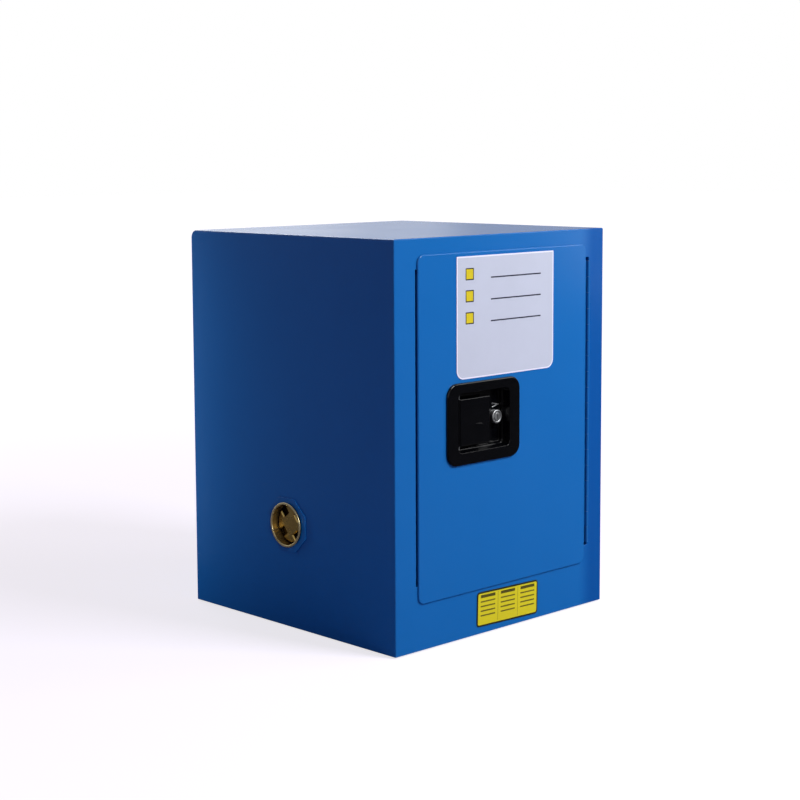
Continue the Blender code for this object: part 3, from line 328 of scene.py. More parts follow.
sump = start_box("sump_pan_hemmed", SUMP_LOW, SUMP_HIGH)
shape(sump)
pick("EDGE", lambda c, d: abs(d.z) > ALONG)
bpy.ops.mesh.bevel(offset=SUMP_CORNER, segments=6, affect="EDGES")
pick("EDGE", lambda c, d: near(c.z, SUMP_LOW[2]))
bpy.ops.mesh.bevel(offset=SUMP_FOLD, segments=3, affect="EDGES")
pick("FACE", lambda c, n: n.z > ALONG)
bpy.ops.mesh.delete(type="FACE")
hem_rim(SUMP_LOW, SUMP_HIGH, -2 * SHEET, -SUMP_HEM)
leave()
work(sump, "SOLIDIFY", thickness=SHEET, offset=-1, use_even_offset=True)
dress(sump, blue_coat, "cabinet")
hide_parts("sump_pan")


# Shelf standards: slotted strips of galvanised steel, riveted to the inner box, with hooked
# clips that carry the shelf. Hot-dip galvanising leaves crystals of zinc, 8 to 12 mm across.
def spangled(name, dark, light, spangle, rough, smooth):
    """Galvanised steel from its two greys, the size of its crystals in metres and its roughness."""
    finish, tree, shader, place = new_finish(name, Metallic=1.0)
    crystal = lay(tree, "TexVoronoi", None, {"Vector": place, "Scale": 1 / spangle}).outputs["Color"]
    grey = lay(tree, "SeparateColor", None, {"Color": crystal}).outputs["Red"]
    colour = lay(tree, "Mix", TINT, {"Factor": grey, MIX_A: linear(dark), MIX_B: linear(light)})
    gloss = lay(tree, "MapRange", None, {"Value": grey, "To Min": rough, "To Max": smooth})
    tree.links.new(colour.outputs[MIX_OUT], shader.inputs["Base Color"])
    tree.links.new(gloss.outputs["Result"], shader.inputs["Roughness"])
    return finish


galvanised = spangled("galvanised steel, spangled", "9CA1A6", "B9BEC2", 0.010, 0.50, 0.34)
for number in range(1, 5):
    paint_node(f"shelf_standard_{number}", galvanised)


# Bright zinc plating: a thin, faintly blue and uneven skin over pressed or drawn steel, whose
# clouds of 6 mm shift its grey and blur some reflections more than others.
def clouded(name, cloud_size, detail, dark, light, gloss=None, grain=None, **constants):
    """A finish that drifts between two colours, and two roughnesses where given, in clouds of a
    size in metres, and may have a fine grain: its size, detail, strength and height."""
    finish, tree, shader, place = new_finish(name, **constants)
    cloud = lay(tree, "TexNoise", None,
                {"Vector": place, "Scale": 1 / cloud_size, "Detail": detail}).outputs["Fac"]
    colour = lay(tree, "Mix", TINT, {"Factor": cloud, MIX_A: linear(dark), MIX_B: linear(light)})
    tree.links.new(colour.outputs[MIX_OUT], shader.inputs["Base Color"])
    if gloss:
        blur = lay(tree, "MapRange", None, {"Value": cloud, "To Min": gloss[0], "To Max": gloss[1]})
        tree.links.new(blur.outputs["Result"], shader.inputs["Roughness"])
    if grain:
        fine = lay(tree, "TexNoise", None, {"Vector": place, "Scale": 1 / grain[0], "Detail": grain[1]})
        bump = lay(tree, "Bump", None,
                   {"Height": fine.outputs["Fac"], "Strength": grain[2], "Distance": grain[3]})
        tree.links.new(bump.outputs["Normal"], shader.inputs["Normal"])
    return finish


zinc_plate = clouded("zinc plate, bright", 0.00625, 3.0, "A9AEB6", "C4C8CC", (0.26, 0.40), Metallic=1.0)
for name in nodes:
    if name.startswith(("shelf_clip", "vent_tube", "foot_nut", "levelling_foot")):
        paint_node(name, zinc_plate)
for name in ("hinge_pin", "paddle_pin", "latch_bolt", "lock_cam"):
    paint_node(name, zinc_plate)


# Vents: a painted eight-sided flange with a threaded neck on each side wall, a tube through
# the insulation, and a woven screen that stops a flame at the inner box.
FLANGE_RADIUS, FLANGE_THICK, FLANGE_EDGE, FLANGE_SIDES = 0.0415, 0.0015, 0.0004, 8
NECK_OUTER, NECK_BORE, NECK_LENGTH = 0.0318, 0.0302, 0.014
CLEAR = 0.0003  # between neighbouring pieces


def out(side, distance):
    """Place on X at a distance outside a side wall."""
    wall = VENT_CENTRES[side].x
    return wall + math.copysign(1, wall) * distance


def drum(name, side, radius, x_from, x_to, sides=HOLE_SIDES):
    """A cylinder on a vent's axis between two places on X."""
    centre = VENT_CENTRES[side]
    return start(name, bpy.ops.mesh.primitive_cylinder_add, vertices=sides, radius=radius,
                 depth=abs(x_to - x_from), location=((x_from + x_to) / 2, centre.y, centre.z),
                 rotation=(0, math.radians(90), 0))


for side, centre in VENT_CENTRES.items():
    face, back = out(side, CLEAR + FLANGE_THICK), out(side, CLEAR)
    flange = drum("vent_flange_pressed_" + side, side, FLANGE_RADIUS, back, face, FLANGE_SIDES)
    shape(flange)
    bpy.ops.mesh.select_all(action="SELECT")
    bpy.ops.transform.rotate(value=math.pi / FLANGE_SIDES, orient_axis="X", center_override=centre)
    pick("EDGE", lambda c, d: near(c.x, face))
    bpy.ops.mesh.bevel(offset=FLANGE_EDGE, segments=3, affect="EDGES")
    leave()
    neck_end = out(side, -NECK_LENGTH)
    cut(flange, drum("neck", side, NECK_OUTER, (face + back) / 2, neck_end), "UNION")
    cut(flange, drum("bore", side, NECK_BORE, out(side, 2 * FLANGE_THICK), out(side, -2 * NECK_LENGTH)))
    dress(flange, blue_coat, "cabinet")
    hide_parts("vent_flange_" + side)

# Seals: flat rings of nitrile rubber, moulded, which the caps' rims press on to the necks. They
# are dull black with a fine dust from the mould, so they hardly shine.
nitrile = clouded("nitrile rubber, moulded", 0.00111, 2.0, "141415", "242425",
                  Roughness=0.72, Specular_IOR_Level=0.3)
for side in VENT_CENTRES:
    paint_node("vent_seal_" + side, nitrile)

# Flame screens: stainless wire cloth of 0.44 mm wire at 2 mm pitch, clinched in a rolled rim.
# Drawn wire is grey and a little uneven, so it glints only here and there.
wire_steel = clouded("stainless wire, drawn", 0.002, 2.0, "84878B", "A3A6AA", (0.3, 0.45), Metallic=1.0)

WIRE, WIRE_WAVE, MESH_PITCH, MESH_HALF = 0.00044, 0.000242, 0.0020, 15
SCREEN_RIM, SCREEN_OPEN, SCREEN_RADIUS, SCREEN_ROUND = (0.1861, 0.1876), 0.0296, 0.0318, 0.0005
POLE_WELD = 1e-6
AXES = {"X": Vector((1, 0, 0)), "Y": Vector((0, 1, 0)), "Z": Vector((0, 0, 1))}
ACROSS = {"X": Vector((0, 1, 0)), "Y": Vector((1, 0, 0)), "Z": Vector((1, 0, 0))}


def turn(name, axis, centre, profile, steps):
    """Spin a profile of (radius, place along the axis) round an axis through a centre."""
    points = [Vector(centre) * (Vector((1, 1, 1)) - AXES[axis]) + AXES[axis] * along + ACROSS[axis] * radius
              for radius, along in profile]
    piece = start(name, bpy.ops.mesh.primitive_plane_add, size=1)
    shape(piece)
    bpy.ops.mesh.select_mode(type="VERT")
    bpy.ops.mesh.select_all(action="SELECT")
    bpy.ops.mesh.merge(type="CENTER")
    bpy.ops.transform.translate(value=points[0])
    for near_point, far_point in zip(points, points[1:]):
        bpy.ops.mesh.extrude_vertices_move(TRANSFORM_OT_translate={"value": far_point - near_point})
    bpy.ops.mesh.select_all(action="SELECT")
    bpy.ops.mesh.spin(steps=steps, angle=2 * math.pi, center=centre, axis=AXES[axis])
    bpy.ops.mesh.select_all(action="SELECT")
    bpy.ops.mesh.remove_doubles(threshold=POLE_WELD)
    bpy.ops.mesh.normals_make_consistent(inside=False)
    leave()
    return piece


def rounded(points, radius, steps=3):
    """A closed profile whose corners are rounded, and whose first point comes again at the end."""
    turned = []
    ring = points[:-1] if points[0] == points[-1] else points
    for i, here in enumerate(ring):
        here = Vector(here)
        before, after = (Vector(ring[i - 1]) - here), (Vector(ring[(i + 1) % len(ring)]) - here)
        if points[0] != points[-1] and i in (0, len(ring) - 1):
            turned.append(tuple(here))
            continue
        reach = min(radius, before.length / 2.01, after.length / 2.01)
        for step in range(steps + 1):
            t = step / steps
            a, b = here + before.normalized() * reach * (1 - t), here + after.normalized() * reach * t
            turned.append(tuple(a * (1 - t) + b * t))
    return turned + turned[:1] if points[0] == points[-1] else turned


def copied(piece, name, shift):
    """A copy of a finished piece, with its own mesh, moved to its place."""
    bpy.ops.object.select_all(action="DESELECT")
    bpy.context.view_layer.objects.active = piece
    piece.select_set(True)
    bpy.ops.object.duplicate()
    other = bpy.context.object
    other.name = other.data.name = name
    bpy.ops.transform.translate(value=shift)
    bpy.ops.object.transform_apply(location=True, rotation=True, scale=True)
    return other


def lay_wires(side, name, turned):
    """One set of the cloth's wires, which run level or upright and pass over and under the other."""
    x = math.copysign(sum(SCREEN_RIM) / 2, VENT_CENTRES[side].x)
    place = VENT_CENTRES[side] * Vector((0, 1, 1)) + Vector((x, 0, 0))
    reach = MESH_HALF * MESH_PITCH
    half = Vector((WIRE / 2, reach, WIRE / 2))
    cloth = start_box(name, place - half, place + half)
    shape(cloth)
    pick("EDGE", lambda c, d: abs(d.y) > ALONG)
    bpy.ops.mesh.subdivide(number_cuts=2 * MESH_HALF - 1)
    for sign in (1, -1):
        pick("VERT", lambda c, n: round((c.y - place.y) / MESH_PITCH) % 2 == (sign > 0))
        bpy.ops.transform.translate(value=(sign * WIRE_WAVE * (-1 if turned else 1), 0, 0))
    bpy.ops.mesh.select_all(action="SELECT")
    bpy.ops.mesh.duplicate()
    bpy.ops.transform.translate(value=(0, MESH_PITCH, MESH_PITCH))
    bpy.ops.mesh.select_all(action="SELECT")
    bpy.ops.transform.translate(value=(0, 0, -reach))
    leave()
    work(cloth, "ARRAY", count=MESH_HALF, use_relative_offset=False, use_constant_offset=True,
         constant_offset_displace=(0, 0, 2 * MESH_PITCH))
    if turned:
        shape(cloth)
        bpy.ops.mesh.select_all(action="SELECT")
        bpy.ops.transform.rotate(value=math.radians(90), orient_axis="X", center_override=place)
        leave()
    return cloth


for side, centre in VENT_CENTRES.items():
    ends = sorted(math.copysign(x, centre.x) for x in SCREEN_RIM)
    cloth = lay_wires(side, "vent_screen_woven_" + side, False)
    weft = lay_wires(side, "weft", True)
    trim = drum("trim", side, (SCREEN_OPEN + SCREEN_RADIUS) / 2, *ends)
    for wires in (cloth, weft):
        cut(wires, copied(trim, "trim_copy", (0, 0, 0)), "INTERSECT")
    bpy.data.objects.remove(trim)
    rim = turn("rim", "X", centre, rounded([
        (SCREEN_OPEN, ends[0]), (SCREEN_RADIUS, ends[0]), (SCREEN_RADIUS, ends[1]), (SCREEN_OPEN, ends[1]),
        (SCREEN_OPEN, ends[0])], SCREEN_ROUND), HOLE_SIDES)
    shape(cloth)
    leave()
    weft.select_set(True)
    rim.select_set(True)
    bpy.ops.object.join()
    dress(cloth, wire_steel, "cabinet")
    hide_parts("vent_screen_" + side)

# Vent caps: bung-size cups turned from zinc-plated steel, with a thin rolled rim, a sunk
# floor with a raised flat disc, and four notches for the wrench that screws them home.
# Yellow passivation dips the zinc in chromate: gold that clouds to green and brown.
CAP_RIM, CAP_BODY, CAP_BORE = 0.0320, 0.0297, 0.0288
CAP_FACE, CAP_SEAT, CAP_END, CAP_FLOOR = 0.0054, 0.0039, -0.0131, -0.0116
DISC_RADIUS, DISC_FACE = 0.0255, -0.0051
NOTCH_COUNT, NOTCH_WIDE, NOTCH_REACH, NOTCH_EDGE, NOTCH_FLARE = 4, 0.0120, 0.0150, 0.0012, 0.0014
CAP_STEPS, CAP_ROUND, FIRST_NOTCH = 96, 0.0007, math.radians(-52)
CLOUD_LONG, FILM_LONG, OLIVE_SHARE = 0.0182, 0.0077, 0.4
# Painted shade darkens the cap's recesses and notch floors; the rim is paler, partly wear and
# partly a painted highlight. Each tone: from, to, colour.
SHADE_AND_HIGHLIGHT_TONES = ((0.2060, 0.2096, "40301A"), (0.2199, 0.2182, "F0E2B0"))

passivate, tree, shader, place = new_finish("yellow passivated zinc", Metallic=0.85)
cloud, film = (
    lay(tree, "TexNoise", None, {"Vector": place, "Scale": 1 / size, "Detail": detail}).outputs["Fac"]
    for size, detail in ((CLOUD_LONG, 3.0), (FILM_LONG, 2.0)))
gold = lay(tree, "Mix", TINT, {"Factor": cloud, MIX_A: linear("B39650"), MIX_B: linear("DCC27A")})
olive = lay(tree, "Mix", TINT, {"Factor": film, MIX_A: linear("A8A05A"), MIX_B: linear("B8885A")})
colour = lay(tree, "Mix", TINT,
             {"Factor": OLIVE_SHARE, MIX_A: gold.outputs[MIX_OUT], MIX_B: olive.outputs[MIX_OUT]})
gloss = lay(tree, "MapRange", None, {"Value": cloud, "To Min": 0.20, "To Max": 0.34})
across = lay(tree, "SeparateXYZ", None, {"Vector": place}).outputs["X"]
out_by = lay(tree, "Math", {"operation": "ABSOLUTE"}, {0: across}).outputs[0]
# Lays the painted shade deep in the cup and the paler rim, part painted highlight, on the chromate.
for low, high, tone in SHADE_AND_HIGHLIGHT_TONES:
    kept = lay(tree, "MapRange", SMOOTH,
               {"Value": out_by, "From Min": low, "From Max": high}).outputs["Result"]
    colour = lay(tree, "Mix", TINT,
                 {"Factor": kept, MIX_A: linear(tone), MIX_B: colour.outputs[MIX_OUT]})
tree.links.new(colour.outputs[MIX_OUT], shader.inputs["Base Color"])
tree.links.new(gloss.outputs["Result"], shader.inputs["Roughness"])

for side, centre in VENT_CENTRES.items():
    cup = rounded([
        (0.0, out(side, CAP_END)), (CAP_BODY, out(side, CAP_END)), (CAP_BODY, out(side, CAP_SEAT)),
        (CAP_RIM, out(side, CAP_SEAT)), (CAP_RIM, out(side, CAP_FACE)), (CAP_BORE, out(side, CAP_FACE)),
        (CAP_BORE, out(side, CAP_FLOOR)), (DISC_RADIUS, out(side, CAP_FLOOR)),
        (DISC_RADIUS, out(side, DISC_FACE)), (0.0, out(side, DISC_FACE)),
    ], CAP_ROUND)
    cap = turn("vent_cap_turned_" + side, "X", centre, cup, CAP_STEPS)
    mouth = out(side, DISC_FACE - NOTCH_FLARE)
    notch_x = sorted((out(side, CAP_FLOOR + CLEAR), mouth))
    for number in range(NOTCH_COUNT):
        notch = start_box("notch", (notch_x[0], centre.y + NOTCH_REACH, centre.z - NOTCH_WIDE / 2),
                          (notch_x[1], centre.y + CAP_BORE - CLEAR, centre.z + NOTCH_WIDE / 2))
        shape(notch)
        pick("EDGE", lambda c, d: abs(d.x) > ALONG)
        bpy.ops.mesh.bevel(offset=NOTCH_EDGE, segments=3, affect="EDGES")
        pick("FACE", lambda c, n: near(c.x, mouth) and abs(n.x) > ALONG)
        bpy.ops.mesh.extrude_region_move(TRANSFORM_OT_translate={
            "value": (out(side, DISC_FACE) - mouth, 0, 0)})
        long = CAP_BORE - CLEAR - NOTCH_REACH
        bpy.ops.transform.resize(value=(1, 1 + NOTCH_FLARE / long, 1 + 2 * NOTCH_FLARE / NOTCH_WIDE),
                                 center_override=centre + Vector((0, CAP_BORE - CLEAR, 0)))
        bpy.ops.mesh.extrude_region_move(TRANSFORM_OT_translate={
            "value": (out(side, CAP_FACE + CLEAR) - out(side, DISC_FACE), 0, 0)})
        bpy.ops.mesh.select_all(action="SELECT")
        angle = FIRST_NOTCH + number * 2 * math.pi / NOTCH_COUNT
        bpy.ops.transform.rotate(value=angle, orient_axis="X", center_override=centre)
        leave()
        cut(cap, notch)
    dress(cap, passivate, "cap_" + side)
    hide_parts("vent_cap_" + side)


# Piano hinge: two leaves of rolled steel with nine knuckles each on a drawn pin, the full
# height of the opening. It is riveted on and then painted with the door, knuckles and all.
HINGE = Vector((0.1794, -0.2165, 0))
KNUCKLE_OUTER, KNUCKLE_BORE, KNUCKLE_EDGE = 0.0024, 0.00135, 0.00025
HINGE_LOW, KNUCKLE_PITCH, KNUCKLE_COUNT, KNUCKLE_GAP = 0.0955, 0.0232, 18, 0.00025
KNUCKLE_STEPS = 20
LEAF_X = {"cabinet": (0.1809, 0.1818), "door": (0.1770, 0.1779)}
LEAF_BACK, LEAF_CLEAR = -0.1980, 0.0005
RIVET_RADIUS, RIVET_RISE, RIVET_ROUND, RIVET_Y, RIVET_SIDES = 0.0026, 0.0008, 0.00056, -0.2040, 16

hinge_coat = powder_coat("powder coat on rolled steel", "1065AC", "1469B2", 0.30)
for body, first, facing in (("cabinet", 0, -1), ("door", 1, 1)):
    x = LEAF_X[body]
    leaf = start_box("hinge_leaf_" + body, (x[0], HINGE.y, HINGE_LOW),
                     (x[1], LEAF_BACK, HINGE_LOW + KNUCKLE_COUNT * KNUCKLE_PITCH))
    for number in range(KNUCKLE_COUNT):
        low = HINGE_LOW + number * KNUCKLE_PITCH + KNUCKLE_GAP / 2
        high = low + KNUCKLE_PITCH - KNUCKLE_GAP
        if number % 2 != first:
            cut(leaf, start_box("room", (x[0] - SHEET, HINGE.y - SHEET, low - KNUCKLE_GAP),
                                (x[1] + SHEET, HINGE.y + KNUCKLE_OUTER + LEAF_CLEAR, high + KNUCKLE_GAP)))
            continue
        knuckle = turn("knuckle", "Z", HINGE, [
            (KNUCKLE_BORE, low), (KNUCKLE_OUTER - KNUCKLE_EDGE, low), (KNUCKLE_OUTER, low + KNUCKLE_EDGE),
            (KNUCKLE_OUTER, high - KNUCKLE_EDGE), (KNUCKLE_OUTER - KNUCKLE_EDGE, high),
            (KNUCKLE_BORE, high), (KNUCKLE_BORE, low)], KNUCKLE_STEPS)
        cut(leaf, knuckle, "UNION")
        rivet_z = (low + high) / 2
        face = x[0] if facing < 0 else x[1]
        rivet = start("rivet", bpy.ops.mesh.primitive_cylinder_add, vertices=RIVET_SIDES,
                      radius=RIVET_RADIUS, depth=2 * RIVET_RISE, location=(face, RIVET_Y, rivet_z),
                      rotation=(0, math.radians(90), 0))
        shape(rivet)
        pick("EDGE", lambda c, d: (c.x - face) * facing > RIVET_RISE / 2 and abs(d.x) < ALONG)
        bpy.ops.mesh.bevel(offset=RIVET_ROUND, segments=2, affect="EDGES")
        leave()
        cut(leaf, rivet, "UNION")
    dress(leaf, hinge_coat, body)
    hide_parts("hinge_frame_leaf" if body == "cabinet" else "hinge_door_leaf")


# Door: a skin with rounded corners that laps over the frame, its edges turned back and
# hemmed, with a folded pan welded behind it to stiffen it. Both are painted with the shell.
DOOR_X, DOOR_Y, DOOR_Z = (-0.1733, 0.1734), (-0.2175, -0.2153), (0.0655, 0.5380)
DOOR_CORNER, DOOR_LIP, DOOR_HOLLOW, DOOR_ROUND = 0.011, 0.006, 0.0010, 0.0020
PAN_X, PAN_Y, PAN_Z = (-0.1660, 0.1767), (-0.2150, -0.1780), (0.0950, 0.5150)
PAN_FOLD = 0.003
CUTOUT_X, CUTOUT_Y, CUTOUT_Z = (-0.1013, 0.0063), (-0.2300, -0.2100), (0.2617, 0.3478)
CUTOUT_CORNER = 0.009
BOLT_SLOT_Y, BOLT_SLOT_Z = (-0.1960, -0.1900), (0.2910, 0.3130)

door = start_box("door_panel", *zip(DOOR_X, DOOR_Y, DOOR_Z))
shape(door)
pick("EDGE", lambda c, d: abs(d.y) > ALONG)
bpy.ops.mesh.bevel(offset=DOOR_CORNER, segments=10, affect="EDGES")
pick("FACE", lambda c, n: n.y > ALONG)
bpy.ops.mesh.inset(thickness=DOOR_LIP, depth=-DOOR_HOLLOW)
pick("EDGE", lambda c, d: near(c.y, DOOR_Y[0]))
bpy.ops.mesh.bevel(offset=DOOR_ROUND, segments=3, affect="EDGES")
leave()
cutout = start_box("cutout", *zip(CUTOUT_X, CUTOUT_Y, CUTOUT_Z))
shape(cutout)
pick("EDGE", lambda c, d: abs(d.y) > ALONG)
bpy.ops.mesh.bevel(offset=CUTOUT_CORNER, segments=6, affect="EDGES")
leave()
cut(door, cutout)
dress(door, blue_coat, "door")
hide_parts("door_skin")

pan = start_box("door_pan_folded", *zip(PAN_X, PAN_Y, PAN_Z))
shape(pan)
pick("FACE", lambda c, n: n.y < -ALONG)
bpy.ops.mesh.delete(type="FACE")
pick("EDGE", lambda c, d: abs(d.y) > ALONG or near(c.y, PAN_Y[1]))
bpy.ops.mesh.bevel(offset=PAN_FOLD, segments=4, affect="EDGES")
leave()
work(pan, "SOLIDIFY", thickness=SHEET, offset=-1, use_even_offset=True)
cut(pan, start_box("slot", (PAN_X[0] - SHEET, BOLT_SLOT_Y[0], BOLT_SLOT_Z[0]),
                   (PAN_X[0] + 2 * SHEET, BOLT_SLOT_Y[1], BOLT_SLOT_Z[1])))
dress(pan, blue_coat, "door")
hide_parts("door_inner_pan")


# Latch dish: a zinc die casting with a flat rim, a rounded edge and a sunk dish that narrows
# to its floor in two steps, clipped into the door. Black coated with a fine grained powder.
BEZEL_X, BEZEL_Z, BEZEL_Y = (-0.1200, 0.0260), (0.2465, 0.3600), (-0.2213, -0.2178)
BEZEL_CORNER, BEZEL_ROUND, CORNER_STEPS = 0.018, 0.0022, 8
DISH_X, DISH_Z, DISH_CORNER = (-0.0995, 0.0045), (0.2635, 0.3460), 0.008
DISH_FLOOR, LEDGE_Y = -0.2030, -0.2085
DISH_DRAFT, LEDGE_WIDE, WELL_DRAFT = 0.0016, 0.0013, 0.0005
DISH_ROUND, CAST_WALL, WELL_SLACK = 0.0012, 0.0015, 0.001
TAB_SLOT_X, TAB_SLOT_Z = (-0.0915, -0.0785), (0.2965, 0.3075)
LOCK = Vector((-0.0113, 0, 0.3044))
LOCK_HOLE, LOCK_HOLE_SIDES = 0.0083, 48

# Black powder baked on a die casting: close to black, with soft mirror lines along its rounds
# and a grain, drawn a little coarser than the powder's, that only breaks up what it reflects.
black_coat = clouded("black powder coat on die casting", 0.025, 2.0, "020306", "06070A", (0.15, 0.21),
                     (0.000714, 1.0, 0.6, 0.00002), IOR=1.5, Specular_IOR_Level=0.35)


def add_outline(x, z, y, corner):
    """In edit mode, add an upright face with rounded corners to the piece."""
    bpy.ops.mesh.select_mode(type="VERT")
    middle = ((x[0] + x[1]) / 2, y, (z[0] + z[1]) / 2)
    bpy.ops.mesh.primitive_plane_add(size=1, location=middle, rotation=(math.radians(90), 0, 0))
    bpy.ops.transform.resize(value=(x[1] - x[0], 1, z[1] - z[0]), center_override=middle)
    bpy.ops.mesh.bevel(offset=corner, segments=CORNER_STEPS, affect="VERTICES")


def front_inset(y, thickness, depth):
    """Inset and sink the face that looks straight forward at one depth."""
    pick("FACE", lambda c, n: near(c.y, y) and n.y < -SQUARE)
    bpy.ops.mesh.inset(thickness=thickness, depth=-depth)


dish = start("latch_dish_cast", bpy.ops.mesh.primitive_plane_add, size=1)
shape(dish)
bpy.ops.mesh.select_all(action="SELECT")
bpy.ops.mesh.delete(type="VERT")
add_outline(BEZEL_X, BEZEL_Z, BEZEL_Y[1], BEZEL_CORNER)
bpy.ops.mesh.select_mode(type="FACE")
bpy.ops.mesh.extrude_region_move(TRANSFORM_OT_translate={"value": (0, BEZEL_Y[0] - BEZEL_Y[1], 0)})
pick("EDGE", lambda c, d: near(c.y, BEZEL_Y[0]))
bpy.ops.mesh.bevel(offset=BEZEL_ROUND, segments=4, affect="EDGES")
pick("FACE", lambda c, n: abs(n.y) > SQUARE)
bpy.ops.mesh.delete(type="ONLY_FACE")
add_outline(DISH_X, DISH_Z, BEZEL_Y[0], DISH_CORNER)
front_inset(BEZEL_Y[0], DISH_DRAFT, LEDGE_Y - BEZEL_Y[0])
front_inset(LEDGE_Y, LEDGE_WIDE, 0)
pick("FACE", lambda c, n: near(c.y, LEDGE_Y) and abs(n.y) > ALONG
     and near(c.x, sum(DISH_X) / 2, WELL_SLACK) and near(c.z, sum(DISH_Z) / 2, WELL_SLACK))
bpy.ops.mesh.inset(thickness=WELL_DRAFT, depth=LEDGE_Y - DISH_FLOOR)
pick("EDGE", lambda c, d: near(c.y, BEZEL_Y[0]))
bpy.ops.mesh.bridge_edge_loops()
bpy.ops.mesh.select_all(action="SELECT")
bpy.ops.mesh.normals_make_consistent(inside=False)
leave()
work(dish, "BEVEL", width=DISH_ROUND, segments=3, limit_method="ANGLE", angle_limit=math.radians(35))
work(dish, "SOLIDIFY", thickness=CAST_WALL, offset=-1, use_even_offset=True)
cut(dish, start_box("slot", (TAB_SLOT_X[0], DISH_FLOOR - CAST_WALL, TAB_SLOT_Z[0]),
                    (TAB_SLOT_X[1], DISH_FLOOR + 2 * CAST_WALL, TAB_SLOT_Z[1])))
cut(dish, start("hole", bpy.ops.mesh.primitive_cylinder_add, vertices=LOCK_HOLE_SIDES, radius=LOCK_HOLE,
                depth=4 * CAST_WALL, location=(LOCK.x, DISH_FLOOR, LOCK.z),
                rotation=(math.radians(90), 0, 0)))
mend(dish)
dress(dish, black_coat, "door")
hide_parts("latch_pan")
paint_node("bolt_guide", black_coat)

# Arrow cast proud of the dish's floor above the lock. It is given a bright metal finish, a
# painted highlight that shows as a grey line on the black.
CHEVRON = ((-0.0128, 0.3226), (-0.0002, 0.3200), (-0.0128, 0.3172))
RIB_WIDE, RIB_HIGH, RIB_ROUND, RIB_CREASE = 0.0018, 0.0010, 0.00081, 50
arrow_highlight_metal = clouded("zinc die casting, bright as a painted highlight", 0.002, 2.0, "808285", "B4B5B8", (0.38, 0.55), Metallic=1.0)


def arrow_bar(name, start_at, end_at):
    """One rounded bar of the arrow, from one point of the dish floor to another."""
    run = Vector((end_at[0] - start_at[0], 0, end_at[1] - start_at[1]))
    middle = Vector(((start_at[0] + end_at[0]) / 2, DISH_FLOOR, (start_at[1] + end_at[1]) / 2))
    reach = Vector((run.length / 2 + RIB_WIDE / 2, RIB_HIGH, RIB_WIDE / 2))
    bar = start_box(name, middle - reach, middle + reach)
    shape(bar)
    pick("EDGE", lambda c, d: near(c.y, middle.y - RIB_HIGH))
    bpy.ops.mesh.bevel(offset=RIB_ROUND, segments=4, affect="EDGES")
    bpy.ops.mesh.select_all(action="SELECT")
    bpy.ops.transform.rotate(value=math.atan2(run.z, run.x), orient_axis="Y", center_override=middle)
    leave()
    return bar


arrow = arrow_bar("latch_arrow_cast", CHEVRON[0], CHEVRON[1])
cut(arrow, arrow_bar("bar", CHEVRON[2], CHEVRON[1]), "UNION")
dress(arrow, arrow_highlight_metal, "door", RIB_CREASE)


# Paddle: a cast finger plate with rounded edges, a slanted corner beside the lock, a raised pad
# for the thumb, and a barrel and tab behind. It swings on a pin and draws the bolt.
PADDLE_X, PADDLE_Y, PADDLE_Z = (-0.0880, -0.0290), (-0.2145, -0.2105), (0.2715, 0.3365)
SLANT_FROM, SLANT_TO = (-0.0410, 0.3365), (-0.0290, 0.3295)
PADDLE_ROUND = 0.0014
EYE, EYE_RADIUS, EYE_BORE = Vector((-0.0880, -0.2110, 0)), 0.0030, 0.0014
EYE_STEPS, BORE_STEPS = 32, 16
TAB_X, TAB_Z, TAB_END = (-0.0900, -0.0860), (0.2980, 0.3060), -0.1905
THUMB_X, THUMB_Z = (-0.0680, -0.0440), (0.2740, 0.3005)
THUMB_HIGH, THUMB_CORNER, THUMB_ROUND = 0.0015, 0.005, 0.00105

paddle = start_box("paddle_cast", *zip(PADDLE_X, PADDLE_Y, PADDLE_Z))
shape(paddle)
slant = Vector((SLANT_TO[0] - SLANT_FROM[0], 0, SLANT_TO[1] - SLANT_FROM[1]))
bpy.ops.mesh.select_all(action="SELECT")
bpy.ops.mesh.bisect(plane_co=(SLANT_FROM[0], 0, SLANT_FROM[1]), plane_no=(-slant.z, 0, slant.x),
                    use_fill=True, clear_outer=True)
pick("EDGE", lambda c, d: c.x > PADDLE_X[0] + CLEAR and abs(d.y) > ALONG)
bpy.ops.mesh.bevel(offset=PADDLE_ROUND, segments=3, affect="EDGES")
pick("EDGE", lambda c, d: near(c.y, PADDLE_Y[0]) and c.x > PADDLE_X[0] + CLEAR)
bpy.ops.mesh.bevel(offset=PADDLE_ROUND, segments=3, affect="EDGES")
leave()
thumb = start_box("thumb", (THUMB_X[0], PADDLE_Y[0] - THUMB_HIGH, THUMB_Z[0]),
                  (THUMB_X[1], PADDLE_Y[0] + THUMB_HIGH, THUMB_Z[1]))
shape(thumb)
pick("VERT", lambda c, n: c.y < PADDLE_Y[0] and near(c.x, THUMB_X[0]))
bpy.ops.transform.translate(value=(0, THUMB_HIGH + CLEAR, 0))
pick("EDGE", lambda c, d: abs(d.y) > ALONG and near(c.x, THUMB_X[1]))
bpy.ops.mesh.bevel(offset=THUMB_CORNER, segments=8, affect="EDGES")
pick("EDGE", lambda c, d: c.y < PADDLE_Y[0] and abs(d.y) < 0.5 and c.x > THUMB_X[0] + CLEAR)
bpy.ops.mesh.bevel(offset=THUMB_ROUND, segments=4, affect="EDGES")
leave()
cut(paddle, thumb, "UNION")
cut(paddle, turn("eye", "Z", EYE, [(0, PADDLE_Z[0]), (EYE_RADIUS, PADDLE_Z[0]), (EYE_RADIUS, PADDLE_Z[1]),
                                   (0, PADDLE_Z[1])], EYE_STEPS), "UNION")
cut(paddle, start_box("tab", (TAB_X[0], EYE.y, TAB_Z[0]), (TAB_X[1], TAB_END, TAB_Z[1])), "UNION")
cut(paddle, turn("bore", "Z", EYE, [(0, PADDLE_Z[0] - CLEAR), (EYE_BORE, PADDLE_Z[0] - CLEAR),
                                    (EYE_BORE, PADDLE_Z[1] + CLEAR), (0, PADDLE_Z[1] + CLEAR)],
                  BORE_STEPS))
dress(paddle, black_coat, "paddle")
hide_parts("paddle")


